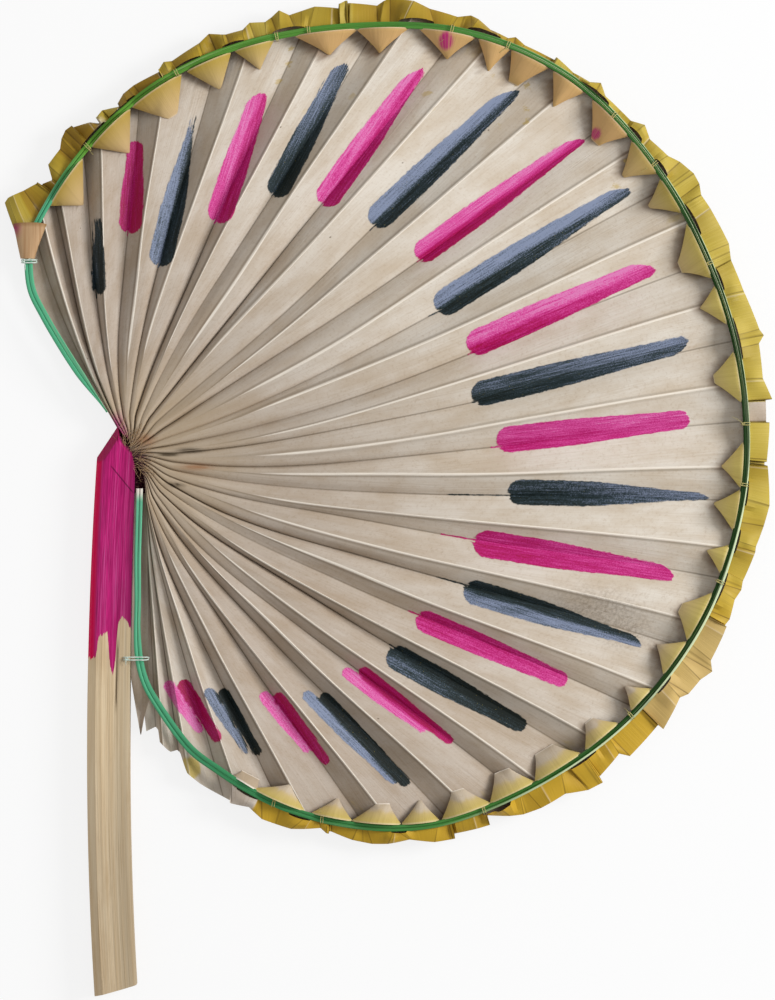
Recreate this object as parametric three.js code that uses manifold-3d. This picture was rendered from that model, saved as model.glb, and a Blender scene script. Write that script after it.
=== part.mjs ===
import * as THREE from 'three';
import Module from 'manifold-3d';

const wasm = await Module();
wasm.setup();

// Palm leaf hand fan lying on its back, painted face up. Sizes are millimetres, angles are degrees.
// The plan is laid out about the centre of the round blade and moved onto its own footing at the end.

const leafletCount = 26;
const hemmedLeaflets = 23;
const sheet = 0.8;
const seat = 0.25;
const pleatGap = 0.24;

// Round blade: rim circle, width of the hem and the half width of the trough that beds the hoop.
const rimRadius = 169.1;
const hemBand = 10.5;
const hemBandLeast = 5.2;
const troughHalf = 3.4;
const troughSlope = 0.5;
const wallRun = 0.6;

// Hoop radius as a mean circle with four gentle swells of a hand-bent split.
const hoopMean = 154.53;
const hoopSwell = [[10.65, 3.75], [-7.12, -4.76], [-0.64, 2.49], [0.82, -2.04]];

// Ridge angles round the rim: even pitch, crowded at both ends, with a slow natural drift.
const middleRidge = 11;
const pleatCentre = 20.13;
const pleatPitch = 12.87;
const pleatCrowd = 0.0124;
const pleatDrift = 2.14;
const driftPeriod = 15.2;
const driftStart = 5.65;
const edgePitchUpper = 4.2;
const edgePitchLower = 4.9;

// Natural strays of the pleats, each a place, a spread and an amount counted in leaflets.
const pleatStray = [[4.2, 1.6, 0.33], [19.3, 2.2, -0.26]];

// Share of a leaflet's width from its first ridge to its valley, at the upper and the lower side.
const valleyUpper = 0.63;
const valleyLower = 0.34;

// Root line: a quarter ellipse round the stalk head, placed by its share of the hoop, then a straight run.
const rootShare = [-0.62059, -0.09189];
const rootCentre = rootShare.map((share) => share * hoopMean);
const rootRadius = [10.9, 12.1];
const rootRun = 13.2;
const rootSplit = 0.573;
const bowUpper = -4;
const bowLower = 6.3;
const edgeBow = -7.1;

// Pleat heights along a leaflet.
const tieThick = 0.7;
const backHoopThick = 1.5;
const backHoopWide = 3.0;
const valleyUnder = tieThick + backHoopThick + 2 * seat;
const depthRoot = 5.0;
const depthRim = 4.7;
const depthSwell = 3.1;
const levelFrom = 0.87;
const steepLimit = 2.2;
const edgeDroop = 0.45;
const stalkSideDepth = 0.7;

// Hem fold: tabs stand up as cones on the inner side of the hoop.
const foldGap = 0.4;
const hemRise = 1.2;
const tabRise = 3.6;
const tabLong = 12.5;
const tabShort = 5.2;

// Hoop strands.
const strandWide = 1.45;
const strandHigh = 1.6;
const strandGap = 0.2;
const strandChamfer = 0.4;

// Stalk.
const stalkWide = 17.4;
const stalkRightX = rootCentre[0] + stalkWide * 0.27;
const stalkLeftX = stalkRightX - stalkWide;
const stalkBowDown = 120.8;
const stalkBowY = rootCentre[1] - stalkBowDown;
const stalkBow = 3.3;
const stalkBowNeck = 1.6;
const stalkLong = 217.2;
const stalkFootY = rootCentre[1] - stalkLong;
const stalkFootRise = 4.9;
const stalkTop = 12.0;
const stalkSection = [
  [0, 1.6],
  [0, 6.5],
  [0.2, stalkTop - 0.6],
  [0.56, stalkTop],
  [0.93, stalkTop - 0.8],
  [1, stalkTop - 2.5],
  [1, 1.4],
  [0.92, 0],
  [0.09, 0],
];
const shoulder = [rootCentre[0] - stalkWide * 0.4425, rootCentre[1]];
const bevelDrop = 6.2;
const bevelWide = 3.4;
const costaReach = 12;
const headAbove = 0.9;
const headHigh = 9.2;
const cutReach = 40;

// Ties: thread loops, each given as a place counted in leaflets round the rim.
const tieAt = [
  1.69, 3.14, 4.24, 4.58, 6.42, 7.14, 8.48, 9.23,
  10.52, 12.53, 13.26, 14.54, 16.59, 18.88, 20.86, 21.56,
];
const tieHole = 0.3;

// Free runs of the hoop: up the leaf's cut edge and down beside the stalk.
const edgeStops = [0.07, 0.13, 0.2, 0.31, 0.43, 0.55, 0.66];
const edgeAway = 1.5;
const neckHigh = 9.6;
const rimStart = 147;
const rimEnd = -117;
const rimStep = 5.5;
const cornerSlack = 0.7;
const cornerTurn = [[-4.1, -16.6], [-3.9, -8.9]];
const cuffTurn = [
  [-3.7, -2.5, 12.2, 3.6],
  [-3.9, -6.5, 10.6, 3.3],
  [-4.3, -11.0, 8.2, 3.2],
  [-4.3, -14.7, 6.4, 3.2],
];

// Stalk side run: share of the way from the rim to the stalk head, distance from the stalk, height.
const stalkRun = [
  [0.166, 11.4, 9.5],
  [0.235, 7.3, 9.5],
  [0.314, 5.1, 9.4],
  [0.409, 3.9, 9.3],
  [0.513, 3.3, 9.2],
  [0.653, 3.0, 9.0],
  [0.792, 2.7, 8.8],
  [0.902, 2.3, 8.6],
];
const stalkTieAlong = 0.63;
const stalkTiePlace = leafletCount - 1.62;
const stalkTieInset = 2.8;

const radians = (degrees) => degrees * Math.PI / 180;
const mix = (a, b, f) => a + (b - a) * f;
const clamp01 = (v) => Math.min(1, Math.max(0, v));
const smooth = (a, b, v) => {
  const f = clamp01((v - a) / (b - a));
  return f * f * (3 - 2 * f);
};

function hoopRadius(angle) {
  let radius = hoopMean;
  hoopSwell.forEach(([c, s], n) => {
    radius += c * Math.cos((n + 1) * angle) + s * Math.sin((n + 1) * angle);
  });
  return radius;
}

function hoopPoint(degrees) {
  const angle = radians(degrees);
  const radius = hoopRadius(angle);
  return [radius * Math.cos(angle), radius * Math.sin(angle)];
}

function rimReach(angle) {
  const hoop = hoopRadius(angle);
  return Math.max(Math.min(rimRadius, hoop + hemBand), hoop + hemBandLeast);
}

// Angle round the rim for a place q; whole q are ridges, half q are valleys.
function rimAngle(q) {
  const last = leafletCount - 3;
  let strayed = q;
  for (const [at, wide, by] of pleatStray) {
    strayed += by * Math.exp(-(((q - at) / wide) ** 2));
  }
  const inner = Math.min(last, Math.max(1, strayed));
  const n = inner - middleRidge;
  const drift = pleatDrift * Math.sin(2 * Math.PI * (inner - driftStart) / driftPeriod);
  let angle = pleatCentre - pleatPitch * n + pleatCrowd * n ** 3 - drift;
  angle += Math.max(0, 1 - q) * edgePitchUpper;
  angle -= Math.max(0, q - last) * edgePitchLower;
  return radians(angle);
}

function rootPoint(q) {
  const along = (q + 1) / leafletCount;
  if (along < rootSplit) {
    const a = radians(90 * (1 - along / rootSplit));
    return [rootCentre[0] + rootRadius[0] * Math.cos(a), rootCentre[1] + rootRadius[1] * Math.sin(a)];
  }
  const down = (along - rootSplit) / (1 - rootSplit);
  return [rootCentre[0] + rootRadius[0], rootCentre[1] - rootRun * down];
}

// Pleats lean, so that a valley stands nearer to one of its two ridges.
function leaned(place) {
  const first = Math.floor(place);
  const f = place - first;
  const valley = mix(valleyUpper, valleyLower, smooth(4, 18, first));
  return first + (f < 0.5 ? 2 * f * valley : mix(2 * valley - 1, 1, f));
}

// Plan of one fold line: root to rim, bowed most near the root; the leaf's upper free edge bows further out.
function foldLine(place, t) {
  const q = leaned(place);
  const [x0, y0] = rootPoint(q);
  const angle = rimAngle(q);
  const reach = rimReach(angle);
  const dx = reach * Math.cos(angle) - x0;
  const dy = reach * Math.sin(angle) - y0;
  const length = Math.hypot(dx, dy);
  const free = 1 - smooth(-1, 0.4, q);
  const bow = mix(bowUpper, bowLower, smooth(4, 11, q)) * (1 - smooth(18, 25, q)) * (1 - 0.7 * free);
  const side = 6.75 * t * (1 - t) * (bow * (1 - t) + edgeBow * free * t);
  return [x0 + dx * t + dy / length * side, y0 + dy * t - dx / length * side];
}

// Where a fold line stands a given distance outside the hoop.
function placeOnLine(q, outside) {
  let low = 0.5;
  let high = 1.2;
  for (let n = 0; n < 40; n += 1) {
    const middle = (low + high) / 2;
    const [x, y] = foldLine(q, middle);
    const gap = Math.hypot(x, y) - hoopRadius(Math.atan2(y, x)) - outside;
    if (gap > 0) {
      high = middle;
    } else {
      low = middle;
    }
  }
  return (low + high) / 2;
}

const ridgeShare = (q) => Math.abs(2 * (q - Math.floor(q)) - 1);
const foldShare = (q) => Math.abs(4 * (q - Math.floor(q * 2) / 2) - 1);

function pleatDepth(q, t) {
  const inside = smooth(-1, 1.5, q) * (1 - smooth(21, 24, q));
  const swell = depthSwell * inside * Math.sin(Math.PI * Math.min(1, t / levelFrom));
  let depth = mix(depthRoot, depthRim, t) + swell;
  depth *= mix(1, stalkSideDepth, smooth(22, 24, q));
  if (q <= -1 || q >= leafletCount - 1) {
    depth *= edgeDroop;
  }
  return depth;
}

function bladeHeights(q, t) {
  const [xa, ya] = foldLine(Math.round(q), t);
  const [xb, yb] = foldLine(Math.floor(q) + 0.5, t);
  const run = Math.hypot(xb - xa, yb - ya);
  const depth = pleatDepth(q, t);
  const thick = Math.min(steepLimit, sheet * Math.hypot(1, depth / run));
  const under = valleyUnder + depth * ridgeShare(q);
  return { under, top: under + thick };
}

// Closed body between two grids of points, with walls round all four sides.
function bodyBetween(upper, lower) {
  const rows = upper.length;
  const columns = upper[0].length;
  const points = [...upper.flat(), ...lower.flat()];
  const second = rows * columns;
  const index = [];
  const quad = (a, b, c, d) => index.push(a, b, c, a, c, d);
  for (let i = 0; i < rows - 1; i += 1) {
    for (let j = 0; j < columns - 1; j += 1) {
      const a = i * columns + j;
      quad(a, a + 1, a + columns + 1, a + columns);
      quad(second + a, second + a + columns, second + a + columns + 1, second + a + 1);
    }
  }
  for (let i = 0; i < rows - 1; i += 1) {
    const a = i * columns;
    const b = a + columns - 1;
    quad(a, a + columns, second + a + columns, second + a);
    quad(b + columns, b, second + b, second + b + columns);
  }
  for (let j = 0; j < columns - 1; j += 1) {
    const b = (rows - 1) * columns + j;
    quad(j + 1, j, second + j, second + j + 1);
    quad(b, b + 1, second + b + 1, second + b);
  }
  return bodyFrom(points, index);
}

// Body swept along stations, each a ring of points; a closed run joins its last ring to its first.
function bodyThrough(rings, closed) {
  const count = rings[0].length;
  const points = rings.flat();
  const index = [];
  const spans = closed ? rings.length : rings.length - 1;
  for (let i = 0; i < spans; i += 1) {
    const a = i * count;
    const b = ((i + 1) % rings.length) * count;
    for (let j = 0; j < count; j += 1) {
      const k = (j + 1) % count;
      index.push(a + j, a + k, b + k, a + j, b + k, b + j);
    }
  }
  if (!closed) {
    const last = (rings.length - 1) * count;
    for (let j = 1; j < count - 1; j += 1) {
      index.push(0, j + 1, j, last, last + j, last + j + 1);
    }
  }
  return bodyFrom(points, index);
}

function bodyFrom(points, index) {
  let volume = 0;
  const a = new THREE.Vector3();
  const b = new THREE.Vector3();
  const c = new THREE.Vector3();
  for (let n = 0; n < index.length; n += 3) {
    a.fromArray(points[index[n]]);
    b.fromArray(points[index[n + 1]]);
    c.fromArray(points[index[n + 2]]);
    volume += a.dot(b.cross(c));
  }
  const facing = volume < 0 ? index.slice().reverse() : index;
  const geometry = new THREE.BufferGeometry();
  geometry.setAttribute('position', new THREE.Float32BufferAttribute(points.flat(), 3));
  geometry.setIndex(facing);
  return geometry;
}

function solidOf(geometry) {
  return new wasm.Manifold(new wasm.Mesh({
    numProp: 3,
    vertProperties: new Float32Array(geometry.attributes.position.array),
    triVerts: new Uint32Array(geometry.index.array),
  }));
}

function geometryOf(solid) {
  const mesh = solid.getMesh();
  const geometry = new THREE.BufferGeometry();
  geometry.setAttribute('position', new THREE.Float32BufferAttribute(mesh.vertProperties, 3));
  geometry.setIndex(Array.from(mesh.triVerts));
  return geometry;
}

function prism(outline, low, high) {
  const rings = [low, high].map((z) => outline.map(([x, y]) => [x, y, z]));
  return bodyThrough(rings, false);
}

// Upright hole for a tie leg.
function legHole(x, y) {
  const outline = [];
  const radius = tieThick / 2 + tieHole;
  for (let n = 0; n < 6; n += 1) {
    outline.push([x + radius * Math.cos(n * Math.PI / 3), y + radius * Math.sin(n * Math.PI / 3)]);
  }
  return solidOf(prism(outline, -5, 30));
}

const bladeStops = [0, 0.07, 0.16, 0.3, 0.52, levelFrom];

// Hem levels over the tallest ridge at the hoop.
let ridgeAtHoop = 0;
for (let q = 0; q < hemmedLeaflets; q += 1) {
  ridgeAtHoop = Math.max(ridgeAtHoop, edgeHeights(q, placeOnLine(q, -troughHalf - wallRun)).top);
}
const hemUnder = ridgeAtHoop + seat;
const hemTop = hemUnder + sheet;
const strandMiddle = hemTop + seat + strandHigh / 2;
const tieTop = hemTop + seat + strandHigh + seat;

function tabReach(q, number) {
  const long = tabLong * (1 + 0.14 * Math.sin(2.3 * number + 5 * foldShare(q)));
  return mix(tabShort, long, foldShare(q));
}

function leaflet(number) {
  const first = number - 2;
  const hemmed = number <= hemmedLeaflets;
  const plain = number === 1;
  const places = [0, 0.25, 0.5, 0.75, 1].map((f) => first + f);
  const front = [];
  const back = [];
  const row = (list, pick) => {
    const line = places.map(pick);
    for (const [edge, near] of [[0, 1], [4, 3]]) {
      const [x, y] = line[edge];
      const gap = Math.hypot(line[near][0] - x, line[near][1] - y);
      const shift = pleatGap / 2 / gap;
      line[edge] = [mix(x, line[near][0], shift), mix(y, line[near][1], shift), line[edge][2]];
    }
    list.push(line);
  };
  const at = (q, t, z) => [...foldLine(q, t), z];
  for (const t of bladeStops) {
    row(front, (q) => at(q, t, edgeHeights(q, t).top));
    row(back, (q) => at(q, t, edgeHeights(q, t).under));
  }
  const inset = hemmed ? 0.994 : 1;
  row(front, (q) => at(q, inset, edgeHeights(q, 1).top));
  row(back, (q) => at(q, 1, edgeHeights(q, 1).under));
  if (hemmed) {
    row(front, (q) => at(q, inset, edgeHeights(q, 1).top + foldGap));
    row(back, (q) => at(q, 1, edgeHeights(q, 1).top + foldGap + sheet));
    const tabs = plain ? 0 : tabRise;
    const steps = [
      [troughHalf, wallRun, (q) => hemRise * ridgeShare(q)],
      [troughHalf - troughSlope, wallRun, () => 0],
      [troughSlope - troughHalf, -wallRun, () => 0],
      [-troughHalf, -wallRun, (q) => tabs * foldShare(q)],
    ];
    for (const [outside, wall, rise] of steps) {
      row(front, (q) => at(q, placeOnLine(q, outside + wall), hemUnder + rise(q)));
      row(back, (q) => at(q, placeOnLine(q, outside), hemTop + rise(q)));
    }
    const tip = (q) => placeOnLine(q, -troughHalf - (plain ? tabShort : tabReach(q, number)));
    const tipUnder = (q) => Math.max(hemUnder - 1, edgeHeights(q, tip(q)).top + foldGap);
    row(front, (q) => at(q, tip(q), plain ? hemUnder : tipUnder(q)));
    row(back, (q) => at(q, tip(q), (plain ? hemUnder : tipUnder(q)) + sheet));
  }
  return bodyBetween(front, back);
}

// Blade heights read along the same straight spans that the leaflet's body uses.
function edgeHeights(q, t) {
  const stops = [...bladeStops, 1];
  const upper = Math.max(1, stops.findIndex((stop) => stop >= Math.min(t, 1)));
  const f = (t - stops[upper - 1]) / (stops[upper] - stops[upper - 1]);
  const a = bladeHeights(q, stops[upper - 1]);
  const b = bladeHeights(q, stops[upper]);
  return { under: mix(a.under, b.under, f), top: mix(a.top, b.top, f) };
}

// Places near the hoop's two ends: off its upper corner, and along the side of the stalk.
function fromCorner(x, y) {
  const [cornerX, cornerY] = hoopPoint(rimStart);
  return [cornerX + x, cornerY + y];
}

function besideStalk(share, away) {
  const y = mix(hoopPoint(rimEnd)[1], rootCentre[1], share);
  return [stalkRight(y) + away, y];
}

// Route of the front hoop: leaf edge, corner, rim, then down beside the stalk.
function hoopRoute() {
  const points = [];
  for (const t of edgeStops) {
    const [x, y] = foldLine(-1, t);
    const [xn, yn] = foldLine(-1, t + 0.01);
    const length = Math.hypot(xn - x, yn - y);
    const z = mix(neckHigh, strandMiddle, smooth(0.1, 0.6, t));
    points.push(new THREE.Vector3(x - (yn - y) / length * edgeAway, y + (xn - x) / length * edgeAway, z));
  }
  cornerTurn.forEach(([x, y]) => points.push(new THREE.Vector3(...fromCorner(x, y), strandMiddle)));
  for (let degrees = rimStart; degrees >= rimEnd; degrees -= rimStep) {
    const z = mix(strandMiddle, stalkRun[0][2], smooth(7.5, 0, degrees - rimEnd));
    points.push(new THREE.Vector3(...hoopPoint(degrees), z));
  }
  stalkRun.forEach(([share, away, z]) => points.push(new THREE.Vector3(...besideStalk(share, away), z)));
  return new THREE.CatmullRomCurve3(points, false, 'centripetal');
}

function strand(path, sideways, wide, high) {
  const rings = [];
  const stations = path.points.length - 1;
  const c = strandChamfer;
  const section = [
    [-wide / 2, -high / 2],
    [wide / 2, -high / 2],
    [wide / 2, high / 2 - c],
    [wide / 2 - c, high / 2],
    [c - wide / 2, high / 2],
    [-wide / 2, high / 2 - c],
  ];
  for (let n = 0; n <= stations; n += 1) {
    const p = path.getPoint(n / stations);
    const d = path.getTangent(n / stations);
    const length = Math.hypot(d.x, d.y);
    const [nx, ny] = [d.y / length, -d.x / length];
    rings.push(section.map(([s, z]) => [p.x - nx * (sideways + s), p.y - ny * (sideways + s), p.z + z]));
  }
  return bodyThrough(rings, false);
}

// Thread loop standing upright between two legs.
function threadLoop(x0, y0, x1, y1, low, high) {
  const length = Math.hypot(x1 - x0, y1 - y0);
  const [ux, uy] = [(x1 - x0) / length, (y1 - y0) / length];
  const round = Math.min(0.8, length / 3);
  const radius = tieThick / 2;
  const corners = [[length, high, 0], [0, high, 90], [0, low, 180], [length, low, 270]];
  const rings = [];
  for (const [along, z, start] of corners) {
    const cx = along === 0 ? round : length - round;
    const cz = z === high ? high - round : low + round;
    for (const turn of [0, 45, 90]) {
      const a = radians(start + turn);
      const ring = [];
      for (let n = 0; n < 5; n += 1) {
        const b = radians(72 * n);
        const out = round + radius * Math.cos(b);
        const s = cx + out * Math.cos(a);
        const across = radius * Math.sin(b);
        ring.push([x0 + ux * s - uy * across, y0 + uy * s + ux * across, cz + out * Math.sin(a)]);
      }
      rings.push(ring);
    }
  }
  return bodyThrough(rings, true);
}

// Leaf end wrapped over the hoop at the upper corner.
function cornerCuff() {
  const outer = [];
  const inner = [];
  const foot = hemTop + seat;
  for (const [offX, offY, wide, rise] of cuffTurn) {
    const [x, y] = fromCorner(offX, offY);
    const line = [];
    const under = [];
    for (let n = 0; n <= 8; n += 1) {
      const a = Math.PI * (1 - n / 8);
      const lift = Math.sin(a) ** 0.6;
      line.push([x + wide / 2 * Math.cos(a), y, foot + rise * lift + (n % 8 === 0 ? 0.2 : 0)]);
      under.push([x + (wide / 2 - sheet) * Math.cos(a), y, foot + (rise - sheet) * lift]);
    }
    outer.push(line);
    inner.push(under);
  }
  return bodyBetween(outer, inner);
}

const stalkLeft = (y) => stalkLeftX + stalkBow * ((y - stalkBowY) / 100) ** 2;
const stalkRight = (y) => {
  const bow = y > stalkBowY ? stalkBowNeck : stalkBow;
  return stalkRightX + bow * ((y - stalkBowY) / 100) ** 2;
};

function stalkBody(tieX, tieY) {
  const rings = [];
  const steps = 12;
  for (let n = 0; n <= steps; n += 1) {
    const y = mix(stalkFootY, 0, n / steps);
    const lean = stalkFootRise * (1 - n / steps);
    rings.push(stalkSection.map(([share, z]) => {
      const x = mix(stalkLeft(y), stalkRight(y), share);
      return [x, y + lean * share, z];
    }));
  }
  const low = stalkFootY - cutReach;
  const left = stalkLeftX - cutReach;
  const right = stalkRightX + cutReach;
  const outline = [[left, low], [right, low], [right, rootCentre[1] - rootRun - 0.6]];
  outline.push([rootCentre[0] + rootRadius[0] - pleatGap - 0.1, rootCentre[1] - rootRun - 0.6]);
  for (let n = 0; n <= 10; n += 1) {
    const a = radians(9 * n);
    const rx = rootRadius[0] - pleatGap - 0.1;
    const ry = rootRadius[1] - pleatGap - 0.1;
    outline.push([rootCentre[0] + rx * Math.cos(a), rootCentre[1] + ry * Math.sin(a)]);
  }
  const apex = outline[outline.length - 1];
  const slope = (apex[1] - shoulder[1]) / (apex[0] - shoulder[0]);
  outline.push([left, apex[1] + slope * (left - apex[0])]);
  let body = solidOf(bodyThrough(rings, false)).intersect(solidOf(prism(outline, -1, 20)));
  const length = Math.hypot(apex[0] - shoulder[0], apex[1] - shoulder[1]);
  const [ux, uy] = [(apex[0] - shoulder[0]) / length, (apex[1] - shoulder[1]) / length];
  const wedge = [[-1, stalkTop - bevelDrop], [-1, 20], [bevelWide * 2, 20], [bevelWide, stalkTop]];
  const ends = [-8, length + 8].map((s) => wedge.map(([n, z]) => [
    shoulder[0] + ux * s + uy * n,
    shoulder[1] + uy * s - ux * n,
    z,
  ]));
  body = body.subtract(solidOf(bodyThrough(ends, false)));
  const costa = [[rootCentre[0] - 2, rootCentre[1]]];
  costa.push([rootCentre[0] + 4, rootCentre[1] - rootRun]);
  for (let n = 0; n <= 12; n += 1) {
    const a = radians(mix(-48, 88, n / 12));
    const swell = costaReach * Math.sin(Math.PI * mix(0.12, 0.88, n / 12));
    const rx = rootRadius[0] + swell;
    const ry = rootRadius[1] + swell * 0.7;
    costa.push([rootCentre[0] + rx * Math.cos(a), rootCentre[1] + ry * Math.sin(a)]);
  }
  body = body.add(solidOf(prism(costa, 0, valleyUnder - seat)));
  const headFoot = besideStalk(stalkRun[stalkRun.length - 1][0], 0)[1] + headAbove;
  const head = outline.slice(4, -1);
  head.push([rootCentre[0], headFoot], [head[0][0], headFoot]);
  body = body.add(solidOf(prism(head, 0, headHigh)));
  const width = tieThick / 2 + tieHole;
  const groove = [[tieX, tieY - width], [right, tieY - width], [right, tieY + width], [tieX, tieY + width]];
  body = body.subtract(legHole(tieX, tieY));
  body = body.subtract(solidOf(prism(groove, -1, tieThick + tieHole + 0.1)));
  return geometryOf(body);
}

const group = new THREE.Group();
group.name = 'palm_leaf_fan';

const finishes = {
  leaf: ['#d8cdbd', 0.75],
  stalk: ['#b5327a', 0.55],
  hoop: ['#2f7d3a', 0.5],
  thread: ['#d9cfa8', 0.7],
};

const pieces = [];
function put(name, finish, geometry) {
  pieces.push({ name, finish, geometry });
}

// Legs of every tie, with the leaflets that they pass through.
const ties = [];
const legReach = strandWide + strandGap / 2 + seat + tieThick / 2;
tieAt.forEach((q, n) => {
  const angle = Math.atan2(...foldLine(q, placeOnLine(q, 0)).reverse());
  const radius = hoopRadius(angle);
  const legs = [radius - legReach, radius + legReach].map((r) => [r * Math.cos(angle), r * Math.sin(angle)]);
  ties.push({ name: `rim_tie_${String(n + 1).padStart(2, '0')}`, legs, low: 0, high: tieTop + tieThick });
});
const route = hoopRoute();
const corner = fromCorner(...cornerTurn[0]);
const cornerWay = route.getTangent(edgeStops.length / (route.points.length - 1));
ties.push({
  name: 'corner_tie',
  legs: [-1, 1].map((side) => [
    corner[0] + cornerWay.y * side * (legReach + cornerSlack),
    corner[1] - cornerWay.x * side * (legReach + cornerSlack),
  ]),
  low: valleyUnder - seat - tieThick,
  high: tieTop + tieThick,
});
const stalkTieFar = foldLine(stalkTiePlace, stalkTieAlong);
const stalkTie = [stalkRight(stalkTieFar[1]) - stalkTieInset, stalkTieFar[1]];
ties.push({
  name: 'stalk_tie',
  legs: [stalkTie, stalkTieFar],
  low: 0.1,
  high: stalkTop + seat + tieThick,
});

put('stalk', 'stalk', stalkBody(...stalkTie));

const holes = ties.flatMap((tie) => tie.legs.map(([x, y]) => ({ x, y, cutter: legHole(x, y) })));
for (let number = 1; number <= leafletCount; number += 1) {
  const sheet = leaflet(number);
  const whole = solidOf(sheet);
  const box = new THREE.Box3().setFromBufferAttribute(sheet.attributes.position).expandByScalar(1);
  const near = holes.filter(({ x, y }) => box.containsPoint(new THREE.Vector3(x, y, box.min.z + 1.5)));
  const cutters = near.map(({ cutter }) => cutter).filter((cutter) => !whole.intersect(cutter).isEmpty());
  const pierced = cutters.reduce((solid, cutter) => solid.subtract(cutter), whole);
  put(`leaflet_${String(number).padStart(2, '0')}`, 'leaf', cutters.length ? geometryOf(pierced) : sheet);
}

put('corner_cuff', 'leaf', cornerCuff());
const strandOffset = (strandWide + strandGap) / 2;
put('hoop_split_outer', 'hoop', strand(route, strandOffset, strandWide, strandHigh));
put('hoop_split_inner', 'hoop', strand(route, -strandOffset, strandWide, strandHigh));

const backPoints = [];
for (let degrees = rimStart - 4; degrees >= rimEnd; degrees -= rimStep) {
  const z = tieThick + seat + backHoopThick / 2;
  backPoints.push(new THREE.Vector3(...hoopPoint(degrees), z));
}
const backRoute = new THREE.CatmullRomCurve3(backPoints, false, 'centripetal');
put('hoop_split_back', 'hoop', strand(backRoute, 0, backHoopWide, backHoopThick));

for (const { name, legs, low, high } of ties) {
  const half = tieThick / 2;
  put(name, 'thread', threadLoop(...legs[0], ...legs[1], low + half, high - half));
}

// Footing: middle of the plan at the origin, lowest point at zero.
const extent = new THREE.Box3();
for (const { geometry } of pieces) {
  geometry.computeBoundingBox();
  extent.union(geometry.boundingBox);
}
const middle = extent.getCenter(new THREE.Vector3());
for (const { name, finish, geometry } of pieces) {
  geometry.translate(-middle.x, -middle.y, -extent.min.z);
  geometry.computeVertexNormals();
  const [color, roughness] = finishes[finish];
  const material = new THREE.MeshStandardMaterial({ color, roughness, name: finish });
  const mesh = new THREE.Mesh(geometry, material);
  mesh.name = name;
  group.add(mesh);
}

export default group;
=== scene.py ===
import bpy
import numpy as np
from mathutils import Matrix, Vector


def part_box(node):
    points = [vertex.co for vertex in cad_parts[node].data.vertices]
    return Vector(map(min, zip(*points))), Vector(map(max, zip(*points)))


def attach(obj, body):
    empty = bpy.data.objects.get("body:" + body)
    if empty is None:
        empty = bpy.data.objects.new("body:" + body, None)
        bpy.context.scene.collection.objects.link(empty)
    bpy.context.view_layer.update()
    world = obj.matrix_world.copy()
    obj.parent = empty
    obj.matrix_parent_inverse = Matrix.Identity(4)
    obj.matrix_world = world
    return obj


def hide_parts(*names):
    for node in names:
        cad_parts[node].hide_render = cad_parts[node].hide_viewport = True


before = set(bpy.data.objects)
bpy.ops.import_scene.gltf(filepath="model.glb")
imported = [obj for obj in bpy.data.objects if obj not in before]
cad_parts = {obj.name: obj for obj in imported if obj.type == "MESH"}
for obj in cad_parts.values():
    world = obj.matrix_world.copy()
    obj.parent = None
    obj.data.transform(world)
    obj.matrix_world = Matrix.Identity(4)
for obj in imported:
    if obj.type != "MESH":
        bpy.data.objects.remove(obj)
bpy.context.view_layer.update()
draw = np.random.default_rng(26)

# plan of the fan: millimetres about the middle of the round blade, painted face up
plan = {
    "leaflets": 26, "hemmed": 23, "rimRadius": 169.1, "rimMost": 10.5, "rimLeast": 5.2, "hoopMean": 154.53,
    "hoopSwell": [[10.65, 3.75], [-7.12, -4.76], [-0.64, 2.49], [0.82, -2.04]],
    "pleatCentre": 20.13, "pleatPitch": 12.87, "pleatCrowd": 0.0124,
    "pleatDrift": 2.14, "driftPeriod": 15.2, "driftStart": 5.65,
    "edgeUpper": 4.2, "edgeLower": 4.9,
    "strays": [[4.2, 1.6, 0.33], [19.3, 2.2, -0.26]],
    "valleyUpper": 0.63, "valleyLower": 0.34,
    "rootCentre": [-95.9, -14.2], "rootRadius": [10.9, 12.1], "rootRun": 13.2, "rootSplit": 0.573,
    "bowUpper": -4.0, "bowLower": 6.3, "edgeBow": -7.1,
    "stalkLeft": -108.6, "stalkRight": -91.2, "stalkMiddle": -135, "stalkFoot": -231.4,
    "leftBow": 2.7, "rightBow": 1.6, "footBow": 3.3,
}
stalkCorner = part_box("stalk")[0]
planShift = np.array([stalkCorner.x * 1000 - plan["stalkLeft"], stalkCorner.y * 1000 - plan["stalkFoot"], 0.0])
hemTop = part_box("rim_tie_01")[1].z * 1000 - 2.8      # level of the hem that beds the hoop
pleatForm = {"valleyUnder": 2.7, "sheet": 0.4, "rootDepth": 5.0, "rimDepth": 4.7, "belly": 3.1, "stalkSide": 0.7,
             "freeEdge": 0.45, "groove": 0.1, "grooveMore": 0.32, "ripple": 0.28, "bulge": 0.5}
print("frame loaded, plan shift", planShift.round(2))


def ease(low, high, value):      # smooth step: three f squared less two f cubed between low and high
    f = np.clip((value - low) / (high - low), 0, 1)
    return f * f * (3 - 2 * f)


def between(a, b, c, d, value):      # smooth step up from a to b times smooth step down from c to d
    return ease(a, b, value) * ease(d, c, value)


def mixed(a, b, f):      # straight blend from a to b
    return a + (b - a) * f


def hoopRadius(angle):      # mean circle plus four cosine and sine swells of the angle
    swell = np.array(plan["hoopSwell"])
    turns = np.asarray(angle, float)[..., None] * np.arange(1, len(swell) + 1)
    return plan["hoopMean"] + (np.cos(turns) * swell[:, 0] + np.sin(turns) * swell[:, 1]).sum(-1)


hoopLean = [[122, 15, 2.0], [90, 13, -2.4], [57, 11, 0.9], [-79, 9, 1.9], [-111, 9, -1.5]]      # degrees, width, push


def hoopLine(angle):      # hoop as bent by hand: the even hoop pushed out or in by bells of the angle
    degrees = np.degrees(angle)
    return hoopRadius(angle) + sum(by * np.exp(-((degrees - at) / wide) ** 2) for at, wide, by in hoopLean)


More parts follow.
